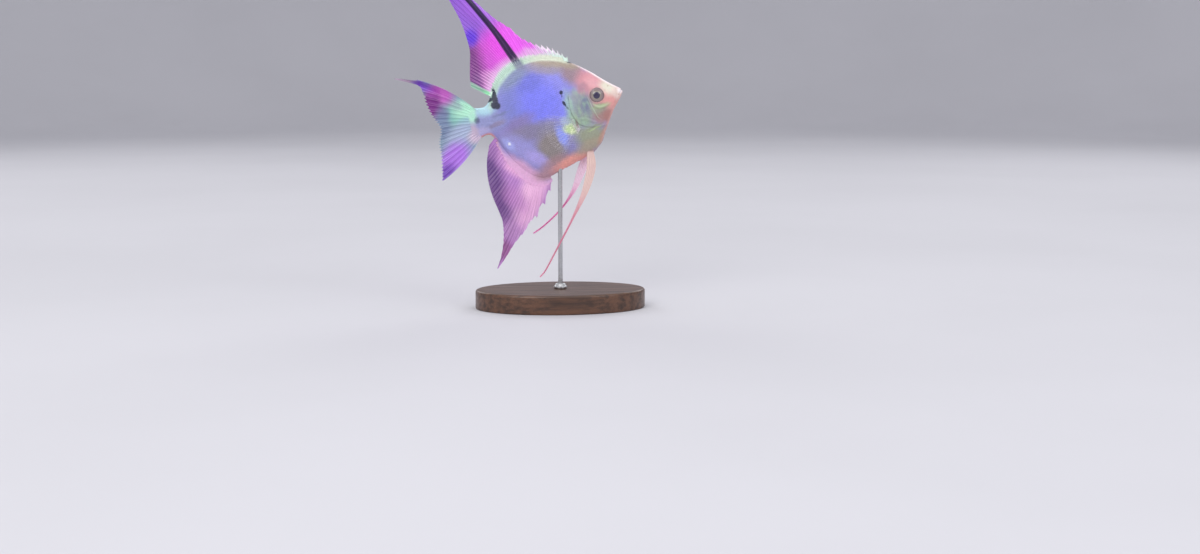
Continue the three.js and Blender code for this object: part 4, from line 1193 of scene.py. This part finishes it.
def fin_material(name, ground, layers, ray, web, ray_share, web_share, streak=False):
    """A fin: soft patches of colour over its ground, rays and web told apart, and a satin surface. With
    streak, it has the back fin's dark streak and the markings of its edges and root."""
    net = new_material(name)
    paint = net.patches(net.use("Fish Place", Stray=0.4, Grain=0.3)["Ragged"], (*ground, 1), layers)
    if streak:
        rise = net.parts("fin")[1]
        paint = net.wash(paint, "#f0c4ee", (rise, 2.0, 8.0, 0.85, 0))
    rays = net.use(
        "Fin Rays", Paint=paint, Ray=colour(ray), Web=colour(web), Ray_Share=ray_share, Web_Share=web_share
    )
    paint, crest = rays["Color"], rays["Crest"]
    if streak:
        ray, to_tip, _ = net.parts("rays")
        paint = net.wash(paint, "#93ebb0", (ray, 0.955, 0.975), 0.95)
        paint = net.wash(paint, "#fff4fc", (ray, 0.12, 0.21, 1, 0), (to_tip, 0.4, 3.4, 0.95, 0))
        # The rear rays run pale over a dark web.
        rear = net.times(net.ramp(ray, 0.7, 0.86), net.ramp(rise, 2, 6))
        paint = net.wash(paint, "#7a3584", rear, (crest, 0.1, 0.7, 0.42, 0))
        paint = net.wash(paint, "#eaa6e6", rear, crest, 0.4)
        reach = net.math("ADD", net.ramp(ray, 0.1, 0.24, 7.0, 3.8), net.ramp(ray, 0.6, 0.95, 0, -2.2))
        paint = net.wash(paint, "#d8f2e2", (net.math("DIVIDE", rise, reach), 0.2, 1.0, 0.95, 0))
        wide = net.math("ADD", net.ramp(rise, 8, 30, 2.15, 1.5), net.ramp(rise, 30, 60, 0, -0.3))
        inside = net.math("SUBTRACT", net.parts("outline")[2], wide)
        paint = net.wash(paint, "#231741", (inside, -0.35, 0.35, 0.97, 0), (rise, 0, 4.6, 0.45, 1))
    return net.finish(
        paint, (rays["Height"], 0.3, 0.0002), Roughness=0.42, Specular_IOR_Level=0.3, Coat_Weight=0.1,
        Coat_Roughness=0.25,
    )


def feeler_material(name, near, far):
    """A feeler: one colour on its broad part and another on its thread, with pale rays."""
    net = new_material(name)
    paint = net.mix(net.ramp(net.parts("fin")[2], 0.28, 0.64), colour(near), colour(far))
    grain = net.use("Fine Grain", Size=5.0, Strength=0.6)["Level"]
    paint = net.wash(paint, "#d0a8b0", net.math("ADD", 0.06, grain, clamp=True))
    colours = {"Paint": paint, "Ray": colour("#fff2f4"), "Web": colour("#d8a8b8")}
    rays = net.use("Fin Rays", **colours, Ray_Share=0.4, Web_Share=0.05)
    bump = (rays["Height"], 0.12, 0.0002)
    return net.finish(rays["Color"], bump, Roughness=0.4, Coat_Weight=0.2, Coat_Roughness=0.15)


def clear_fin_material():
    """A clear fin: faint milky web, almost see-through, between visible rays."""
    net = new_material("milky_fin")
    colours = {"Paint": colour("#e6dfe8"), "Ray": colour("#f6eef2"), "Web": colour("#c9c2d6")}
    rays = net.use("Fin Rays", **colours, Ray_Share=0.5, Web_Share=0.3)
    rooted = net.ramp(net.parts("fin")[1], -2, 2.5, 0.8, 0.02)
    solid = net.math("MAXIMUM", net.ramp(rays["Crest"], 0, 1, 0.02, 0.08), rooted)
    bump = (rays["Height"], 0.2, 0.0002)
    return net.finish(rays["Color"], bump, Alpha=solid, Roughness=0.25, Specular_IOR_Level=0.5)


def wood_material(look):
    """Oiled walnut: long grain from a stretched noise bent by a slower one, dark pores, and a soft gloss."""
    net = new_material("oiled_walnut")
    here = net.here()
    sway = net.vector("MULTIPLY", net.noise(here, 18.0, 2.0, out="Color"), (0.0, 0.004, 0.004))
    bent = net.vector("ADD", here, sway)
    bands = net.noise(net.scaled(bent, 24.0, 520.0, 420.0), 1.0, 6.0, 0.6)
    pores = net.noise(net.scaled(bent, 160.0, 4200.0, 3200.0), 1.0, 3.0)
    paint = net.mix(net.ramp(bands, 0.3, 0.7), (*look.wood, 1), colour("#6a4630"))
    paint = net.wash(paint, "#22150d", (pores, 0.58, 0.68, 0, 0.6))
    rough = net.ramp(bands, 0.3, 0.7, 0.46, 0.34)
    return net.finish(paint, (pores, 0.15, 0.0002), Roughness=rough, Coat_Weight=0.3, Coat_Roughness=0.25)


def steel_material():
    """Brushed steel: fine lines round the rod in its roughness and height, and faint smudges."""
    net = new_material("brushed_steel")
    here = net.here()
    brushed = net.noise(net.scaled(here, 300.0, 300.0, 9000.0), 1.0, 3.0)
    smudge = net.noise(here, 160.0, 3.0)
    paint = net.mix(net.ramp(smudge, 0.4, 0.7, 0, 0.25), colour("#c6c7c8"), colour("#98999c"))
    rough = net.math("ADD", net.ramp(brushed, 0.3, 0.7, 0.2, 0.36), net.ramp(smudge, 0.4, 0.7, 0, 0.08))
    return net.finish(paint, (brushed, 0.1, 0.00005), Roughness=rough, Metallic=1.0)


def backdrop_material(look):
    """Pale studio paper with a barely seen unevenness."""
    net = new_material("studio_paper")
    shade = (*(0.96 * part for part in look.paper), 1)
    mottle = net.ramp(net.noise(net.here(), 3.0, 4.0), 0.3, 0.7)
    return net.finish(net.mix(mottle, (*look.paper, 1), shade), Roughness=0.8)


# ---------------------------------------------------------------- what a user can change
def tint(name, description, code):
    """A colour that a user can change, with its default written as #rrggbb."""
    return bpy.props.FloatVectorProperty(
        name=name, description=description, default=colour(code)[:3], subtype="COLOR", min=0, max=1
    )


def metres(name, description, low, default, high):
    """A length that a user can change."""
    return bpy.props.FloatProperty(
        name=name, description=description, default=default, min=low, max=high, unit="LENGTH", precision=5
    )


def amount(name, description, default, low=0, high=1, subtype="FACTOR"):
    """A share, a strength or an angle that a user can change."""
    return bpy.props.FloatProperty(
        name=name, description=description, default=default, min=low, max=high, subtype=subtype
    )


class FishLook(bpy.types.PropertyGroup):
    """The fish's and the stand's sizes and colours that a user can change."""

    coat: metres(
        "Coat Depth", "How deep the skin lies under the scales' outer face", 0.1 * MM, 0.2 * MM, 0.8 * MM
    )
    pitch: metres(
        "Scale Pitch", "Distance between columns of scales along the body", 0.7 * MM, 0.98 * MM, 3 * MM
    )
    lift: amount(
        "Scale Lift", "How far a scale's free edge stands up, as a share of its size", 0.11, high=0.6
    )
    flank: tint("Flank", "Ground colour of the flank", "#948fcb")
    # The strength of the scales' painted glints.
    painted_glint: amount("Flash", "How bright the glittering scales are", 0.8)
    iris: tint("Iris", "Colour of the iris", "#968d80")
    rose: tint("Back Fin", "Ground colour of the back fin", "#e964e4")
    orchid: tint("Anal Fin", "Ground colour of the anal fin", "#c58bd2")
    mist: tint("Tail Fin", "Ground colour of the tail fin", "#90a8bb")
    wood: tint("Wood", "Dark colour of the stand's wood", "#3b261a")


class StageLook(bpy.types.PropertyGroup):
    """The backdrop, the camera's place and the lamps' strength."""

    paper: tint("Paper", "Colour of the floor and backdrop", "#d2d1d6")
    distance: metres("Distance", "From the camera to the fish", 0.2, 0.953, 5)
    azimuth: amount(
        "Azimuth", "How far the camera stands towards the head", math.radians(-4.5), -math.pi, math.pi,
        "ANGLE",
    )
    elevation: amount(
        "Elevation", "How far the camera looks down on the fish", math.radians(2), -1.5, 1.5, "ANGLE"
    )
    across: amount("Across", "Where the fish's middle stands across the picture", 0.4581)
    down: amount("Down", "Where the fish's middle stands down the picture", 0.1913)
    light: amount("Light", "Strength of all the lamps", 1, high=10)


# ---------------------------------------------------------------- the pieces
def skin_piece(look):
    """The body's skin: rings of points along x, close together on the head, each spread evenly by girth from
    the back down one side to the belly and up the other. Each point is the body's plain form, moved along its
    normal by the relief less the coat's depth."""
    tip = 0.46  # the angle, in radians, at which the snout's rounded rings begin
    stations = np.concatenate([
        np.linspace(SKIN_END_X, -35, 26, endpoint=False), np.linspace(-35, 9, 64, endpoint=False),
        np.linspace(9, SNOUT_X - SNOUT_ROUND * (1 + np.sin(tip)), 150, endpoint=False),
        SNOUT_X - SNOUT_ROUND * (1 - np.sin(np.linspace(-tip, np.pi / 2 - 0.06, 40))),
    ])
    half = 150  # points round one side of a ring
    share = np.cos(np.linspace(0, np.pi, half + 1)) * 0.35 + np.linspace(1, -1, half + 1) * 0.65
    right = body_point(stations[:, None], share[None, :], -1)
    left = body_point(stations[:, None], share[None, -2:0:-1], 1)
    rings = np.concatenate([right, left], 1)
    normal = unit(np.cross(np.gradient(rings, axis=0), np.roll(rings, -1, 1) - np.roll(rings, 1, 1)))
    if np.mean(normal[:, half // 2, 1]) > 0:
        normal = -normal
    x, z = rings[..., 0], rings[..., 2]
    height, crease_shade, ridge = relief(x, z)
    steep = np.abs(normal[..., 1]) ** 0.5
    calm = (ramp(stations, SKIN_END_X, -44) * fall(stations, 42, SNOUT_X))[:, None]
    rings = rings + normal * ((height * steep - sunk(x, z, look.coat / MM)) * calm)[..., None]
    points, faces = capped(rings, rings[0].mean(0), rings[-1].mean(0) + [0.02, 0, 0])
    # The masks of the painted shade in the folds and the painted highlight on the ridges, for the skin's
    # material.
    form = np.concatenate([np.stack([crease_shade, ridge, 0 * crease_shade], -1).reshape(-1, 3), np.zeros((2, 3))])
    make_piece(
        "fish_skin", place(points), faces, skin_material(look),
        ["head", "trunk", "tail_stalk", "upper_jaw", "lower_jaw", "gill_cover_right", "gill_cover_left"],
        {"form": form, "outline": outline_of(points[:, 0], points[:, 2])},
    )


BAKE_SPAN = 96  # millimetres of a coat's flat shape across its bake map
BAKE_PATCH = 0.003  # one scale's share of the map's width


def coat_piece(name, roots, made, flat, material):
    """A piece of the coat, from the scales made on its roots, with a bake map: each scale is a small patch at
    its root's place on the coat's own flat shape, in millimetres."""
    points, faces, scale = made
    attributes = {"scale": scale, "outline": outline_of(points[:, 0], points[:, 2])}
    thing = make_piece(name, place(points), faces, material, (), attributes)
    uv = flat[:, None] / BAKE_SPAN + scale[:, :2].reshape(len(roots), -1, 2) * BAKE_PATCH / 2
    layer = thing.data.uv_layers.new(name="OFBake")
    corner = np.zeros(len(thing.data.loops), np.int32)
    thing.data.loops.foreach_get("vertex_index", corner)
    layer.data.foreach_set("uv", np.ascontiguousarray(uv.reshape(-1, 2)[corner], np.float32).ravel())


def scales_piece(look, word, side, material):
    """One side's coat of scales. Its flat shape is the flank unrolled, x along and girth upwards."""
    chance = np.random.default_rng(SCALE_SEED + side)
    trunk = scale_roots(look.pitch / MM, chance)
    roots = np.concatenate([trunk, cheek_roots(0.6 * look.pitch / MM, chance)])
    roots = np.concatenate([roots, np.zeros((len(roots), 1))], 1)
    made = scale_mesh(
        roots, lambda x, along: body_at(x, along, side), side,
        lambda x, z: relief(x, z)[0] - sunk(x, z, look.coat / MM), look.lift, chance,
    )
    coat_piece(f"scales_{word}", roots, made, roots[:, :2] + (50, 48), material)


def sheath_piece(look, word, side, material):
    """The small scales over one side of the back and anal fins' roots. Their flat shapes are two strips, one
    above the other."""
    chance = np.random.default_rng(SCALE_SEED + 10 + side)
    roots, points, faces, scale, flat = [], [], [], [], []
    for sheath in SHEATHS:
        grown = sheath_roots(sheath, 0.74 * look.pitch / MM, chance)
        made = scale_mesh(grown, sheath_surface(sheath, side), side, lambda x, z: 0 * x, look.lift, chance)
        faces += [group + sum(map(len, points)) for group in made[1]]
        roots.append(grown)
        points.append(made[0])
        scale.append(made[2])
        flat.append(grown[:, :2] + (20, 48 - 30 * sheath[1]))
    roots, points, scale, flat = (np.concatenate(group) for group in (roots, points, scale, flat))
    coat_piece(f"sheath_scales_{word}", roots, (points, faces, scale), flat, material)


def eye_piece(word, side, material):
    """An eye: a dome turned about its own axis. Its profile follows the flattened ball of the frame's eye,
    with a lens that bulges a little inside the pupil and a shallow dip over the iris, and a plain back."""
    pupil = EYE["pupil"]
    r = np.r_[np.linspace(0.12, pupil, 12), np.linspace(pupil + 0.1, 4.4, 26), 4.1, 3.2, 2.1, 1]
    out = EYE["depth"] * np.sqrt(np.clip(1 - (r / EYE["radius"]) ** 2, 0, 1))
    out += 0.12 * np.sqrt(np.clip(1 - (r / pupil) ** 2, 0, 1)) - 0.16 * bump(r - 2.6, 0.7)
    out[-4:] = [-0.6, -1.2, -1.6, -1.8]
    turn = round_angles(64)
    x = EYE["x"] + r[:, None] * np.cos(turn)
    z = EYE["z"] + r[:, None] * np.sin(turn)
    rings = np.stack(np.broadcast_arrays(x, side * (EYE["y"] + out[:, None]), z), -1)
    front = [EYE["x"], side * (EYE["y"] + EYE["depth"] + 0.12), EYE["z"]]
    back = [EYE["x"], side * (EYE["y"] - 1.9), EYE["z"]]
    points, faces = capped(rings, front, back)
    make_piece(f"eyeball_{word}", place(points), faces, material, [f"eye_{word}"])


def middle_fin_piece(fin, material):
    """One of the three fins in the fish's middle plane, as its dictionary of sizes says."""
    web = 0.1  # half its thickness, in millimetres
    points, faces, attributes = ray_sheet(
        lambda u, v: fan_point(fin, u, v), fin["rays"], fin["rows"], fin["radius"], web, fin["split"],
        fin["notch"], fin["swell"],
    )
    attributes["outline"] = outline_of(points[:, 0], points[:, 2])
    make_piece(fin["piece"], place(points), faces, material, [fin["node"]], attributes)


def feeler_piece(word, side, material):
    """A feeler: a thick narrow sheet with five gaps between its rays, which do not fork."""
    points, faces, attributes = ray_sheet(
        lambda u, v: feeler_point(FEELERS[word], side, u, v), 5, 90, lambda u, v: FEELER_RAY(v), 0.16,
        lambda u, v: 0,
    )
    name, node = f"feeler_{word}", f"ventral_fin_{word}"
    make_piece(name, place(points), faces, material, [node], attributes)


def breast_fin_piece(word, side, material):
    """A breast fin: a very thin sheet with rays that part and grow finer outwards."""
    points, faces, attributes = ray_sheet(
        lambda u, v: breast_point(side, u, v), BREAST["rays"], 30, lambda u, v: 0.32 - 0.24 * v, 0.05,
        lambda u, v: 0.22 * v**2, lambda u: 0.5,
    )
    name, node = f"breast_fin_{word}", f"pectoral_fin_{word}"
    make_piece(name, place(points), faces, material, [node], attributes)


def turned_piece(name, profile, length, width, sides, material, slot, node):
    """A turned or oval piece: (share of the radius, inset, height) triples carried round an ellipse, and
    closed on the axis at the first and last heights."""
    share, inset, height = np.array(profile, float).T[..., None]
    turn = round_angles(sides)
    x = (share * length / 2 - inset) * np.cos(turn)
    y = (share * width / 2 - inset) * np.sin(turn)
    rings = np.stack(np.broadcast_arrays(x, y, height), -1)
    points, faces = capped(rings, [0, 0, height[0, 0]], [0, 0, height[-1, 0]])
    make_piece(name, points * MM, faces, material, [node])


def rounded(radius, z, start, end, steps=7):
    """Steps round a quarter circle at the rim of a turned piece, as (1, inset, height) triples."""
    angle = np.linspace(start, end, steps)
    return [(1, radius * (1 - math.cos(a)), z + radius * math.sin(a)) for a in angle]


def stand_pieces(look):
    """The base with its rounded rims, the plain rod, and the collar: a drum under a cone."""
    wood, steel = wood_material(look), steel_material()
    under, over = -math.pi / 2, math.pi / 2
    boxes = {name: np.array(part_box("stand_" + name)) / MM for name in ("base", "rod", "collar")}
    low, high = boxes["base"]
    top = high[2]
    profile = [(share, 0, 0) for share in (0.02, 0.5, 0.9)] + rounded(0.8, 0.8, under, 0)
    profile += rounded(1.5, top - 1.5, 0, over, 10) + [(share, 0, top) for share in (0.9, 0.5, 0.02)]
    turned_piece("plinth", profile, *(high - low)[:2], 160, wood, "stand_wood", "stand_base")
    low, high = boxes["rod"]
    across, foot, top = high[0] - low[0], low[2], high[2]
    profile = [(0.02, 0, foot), (0.8, 0, foot)] + [(1, 0, z) for z in np.linspace(foot + 0.3, top - 0.3, 40)]
    profile += [(0.8, 0, top), (0.02, 0, top)]
    turned_piece("rod", profile, across, across, 40, steel, "stand_metal", "stand_rod")
    low, high = boxes["collar"]
    across, foot, top = high[0] - low[0], low[2], high[2]
    tall = top - foot
    profile = [(0.02, 0, foot), (0.9, 0, foot)] + rounded(0.25, foot + 0.25, under, 0, 5)
    profile += rounded(0.3, foot + 0.45 * tall - 0.3, 0, over, 5) + [(1, 0.5, foot + 0.5 * tall)]
    profile += [(0.78, 0, foot + 0.8 * tall), (0.7, 0, top - 0.15)]
    profile += [(share, 0, top) for share in (0.62, 0.36, 0.02)]
    turned_piece("collar", profile, across, across, 64, steel, "stand_metal", "stand_collar")


# ---------------------------------------------------------------- operators
class FISH_OT_skin(bpy.types.Operator):
    """One skin over the head, trunk, tail stalk, jaws and gill covers, with its folds"""

    bl_idname = "fish.skin"
    bl_label = "Skin"
    bl_options = {"REGISTER", "UNDO"}

    def execute(self, context):
        skin_piece(context.scene.fish_look)
        return {"FINISHED"}


class FISH_OT_scales(bpy.types.Operator):
    """The coat of scales on both sides of the body, and the small scales over its fins' roots"""

    bl_idname = "fish.scales"
    bl_label = "Scales"
    bl_options = {"REGISTER", "UNDO"}

    def execute(self, context):
        look = context.scene.fish_look
        material = scale_material(look)
        for word, side in SIDES:
            scales_piece(look, word, side, material)
            sheath_piece(look, word, side, material)
        return {"FINISHED"}


class FISH_OT_eyes(bpy.types.Operator):
    """Both eyes"""

    bl_idname = "fish.eyes"
    bl_label = "Eyes"
    bl_options = {"REGISTER", "UNDO"}

    def execute(self, context):
        material = eye_material(context.scene.fish_look)
        for word, side in SIDES:
            eye_piece(word, side, material)
        return {"FINISHED"}


class FISH_OT_middle_fins(bpy.types.Operator):
    """The back fin, the anal fin and the tail fin"""

    bl_idname = "fish.middle_fins"
    bl_label = "Back, Anal and Tail Fins"
    bl_options = {"REGISTER", "UNDO"}

    def execute(self, context):
        look = context.scene.fish_look
        for fin, name, ground, layers, *rays in (
            (BACK_FIN, "rose_fin", look.rose, BACK_FIN_PATCHES, "#ffd9fb", "#6b3a86", 0.2, 0.24, True),
            (ANAL_FIN, "orchid_fin", look.orchid, ANAL_FIN_PATCHES, "#fbe3f4", "#5b3b7a", 0.3, 0.26),
            (TAIL_FIN, "misty_tail", look.mist, TAIL_FIN_PATCHES, "#eafaf2", "#4c4f78", 0.22, 0.24),
        ):
            middle_fin_piece(fin, fin_material(name, ground, layers, *rays))
        return {"FINISHED"}


class FISH_OT_paired_fins(bpy.types.Operator):
    """The two feelers and the two clear breast fins"""

    bl_idname = "fish.paired_fins"
    bl_label = "Feelers and Breast Fins"
    bl_options = {"REGISTER", "UNDO"}

    def execute(self, context):
        clear = clear_fin_material()
        for word, side in SIDES:
            feeler_piece(word, side, feeler_material(f"feeler_{word}", *FEELER_COLOURS[word]))
            breast_fin_piece(word, side, clear)
        return {"FINISHED"}


class FISH_OT_stand(bpy.types.Operator):
    """The oval wooden base, the rod and its collar"""

    bl_idname = "fish.stand"
    bl_label = "Stand"
    bl_options = {"REGISTER", "UNDO"}

    def execute(self, context):
        stand_pieces(context.scene.fish_look)
        return {"FINISHED"}


LAMPS = (  # name, place, size, power and tint of each square soft lamp
    ("overhead", (-0.05, -0.25, 1.15), 0.9, 3.1, (1, 1, 1)),
    ("front_left", (-0.8, -1.25, 0.95), 0.9, 9.6, (1, 0.99, 0.97)),
    ("front_right", (0.95, -1.1, 0.8), 0.8, 5, (0.97, 0.98, 1)),
    ("behind_right", (0.9, 1.05, 0.95), 0.8, 4, (1, 1, 1)),
    ("behind_left", (-0.8, 1.15, 0.9), 0.8, 4, (1, 1, 1)),
)
AIR = ((0.93, 0.94, 1, 1), 0.66)  # the surroundings' light: its colour and strength


class FISH_OT_stage(bpy.types.Operator):
    """The pale floor and backdrop, the lamps and the camera"""

    bl_idname = "fish.stage"
    bl_label = "Stage"
    bl_options = {"REGISTER", "UNDO"}

    def execute(self, context):
        scene = context.scene
        look = scene.stage_look
        self.set_backdrop(scene, look)
        for name, at, size, power, tone in LAMPS:
            data = bpy.data.lights.new(name, "AREA")
            data.size = size
            data.energy = power * look.light
            data.color = tone
            lamp = bpy.data.objects.new(name, data)
            scene.collection.objects.link(lamp)
            lamp.location = at
            x, y, z = np.array(at) - FISH_AT  # it faces the fish
            lamp.rotation_euler = (math.acos(z / math.hypot(x, y, z)), 0, math.atan2(y, x) + math.pi / 2)
        world = bpy.data.worlds.new("studio")
        world.use_nodes = True
        shader = world.node_tree.nodes["Background"]
        shader.inputs["Color"].default_value = AIR[0]
        shader.inputs["Strength"].default_value = AIR[1] * look.light
        scene.world = world
        scene.view_settings.view_transform = "Standard"
        self.set_camera(scene, look)
        return {"FINISHED"}

    def set_backdrop(self, scene, look):
        """A round floor that rises in a quarter circle to a low upright wall: the same from every side."""
        rise = np.linspace(0, np.pi / 2, 24)
        radius = np.concatenate([[0.7, 1.4], 2.1 + 0.9 * np.sin(rise), [3.0]])[:, None]
        height = np.concatenate([[0, 0], 0.9 * (1 - np.cos(rise)), [1.5]])[:, None]
        turn = round_angles(96)
        rings = np.broadcast_arrays(radius * np.cos(turn), radius * np.sin(turn), height)
        points = np.concatenate([np.stack(rings, -1).reshape(-1, 3), [[0, 0, 0]]])
        middle_fan = fan_faces(len(points) - 1, np.arange(len(turn)))
        mesh = bpy.data.meshes.new("backdrop")
        mesh.from_pydata(points, [], [*grid_faces(len(radius), len(turn), ring=True), *middle_fan])
        mesh.polygons.foreach_set("use_smooth", np.ones(len(mesh.polygons), bool))
        mesh.materials.append(backdrop_material(look))
        floor = bpy.data.objects.new("backdrop", mesh)
        scene.collection.objects.link(floor)

    def set_camera(self, scene, look):
        """A level camera, aimed so that the fish's middle falls at its place in the picture: the ray to that
        place, in the camera's own axes, is turned down and round until it has the ray's true direction."""
        data = bpy.data.cameras.new("camera")
        data.lens = 50
        data.sensor_width = 36
        width, height = 1200, 554
        focal = data.lens / data.sensor_width * width
        ray = np.array([(look.across - 0.5) * width, (0.5 - look.down) * height, -focal])
        ray /= np.linalg.norm(ray)
        # Unit vector from camera to fish. Azimuth turns the camera towards +X from -Y.
        level = math.cos(look.elevation)
        to_fish = np.array([
            -math.sin(look.azimuth) * level, math.cos(look.azimuth) * level, -math.sin(look.elevation),
        ])
        # Pitched by p about its own x axis, the camera's ray has height b cos p - c sin p, with c = ray's z.
        _, b, c = ray
        pitch = math.asin(to_fish[2] / math.hypot(b, c)) - math.atan2(b, -c)
        forward = -c * math.cos(pitch) - b * math.sin(pitch)
        yaw = math.atan2(-to_fish[0], to_fish[1]) + math.atan2(ray[0], forward)
        thing = bpy.data.objects.new("camera", data)
        scene.collection.objects.link(thing)
        thing.location = FISH_AT - to_fish * look.distance
        thing.rotation_euler = (math.pi / 2 + pitch, 0, yaw)
        scene.camera = thing


OPERATORS = (
    FISH_OT_skin, FISH_OT_scales, FISH_OT_eyes, FISH_OT_middle_fins, FISH_OT_paired_fins, FISH_OT_stand,
    FISH_OT_stage,
)


class FISH_PT_panel(bpy.types.Panel):
    """The fish's pieces and their settings"""

    bl_idname = "FISH_PT_panel"
    bl_label = "Angelfish"
    bl_space_type = "VIEW_3D"
    bl_region_type = "UI"
    bl_category = "Angelfish"

    def draw(self, context):
        for operator in OPERATORS:
            self.layout.operator(operator.bl_idname)
        for look in (context.scene.fish_look, context.scene.stage_look):
            for name in look.__annotations__:
                self.layout.prop(look, name)


CLASSES = (FishLook, StageLook, *OPERATORS, FISH_PT_panel)


def register():
    for cls in CLASSES:
        bpy.utils.register_class(cls)
    bpy.types.Scene.fish_look = bpy.props.PointerProperty(type=FishLook)
    bpy.types.Scene.stage_look = bpy.props.PointerProperty(type=StageLook)


def unregister():
    del bpy.types.Scene.stage_look
    del bpy.types.Scene.fish_look
    for cls in reversed(CLASSES):
        bpy.utils.unregister_class(cls)


def main():
    """Makes each group of pieces in turn and the stage."""
    register()
    bpy.ops.fish.skin()
    bpy.ops.fish.scales()
    bpy.ops.fish.eyes()
    bpy.ops.fish.middle_fins()
    bpy.ops.fish.paired_fins()
    bpy.ops.fish.stand()
    bpy.ops.fish.stage()


if __name__ == "__main__":
    main()
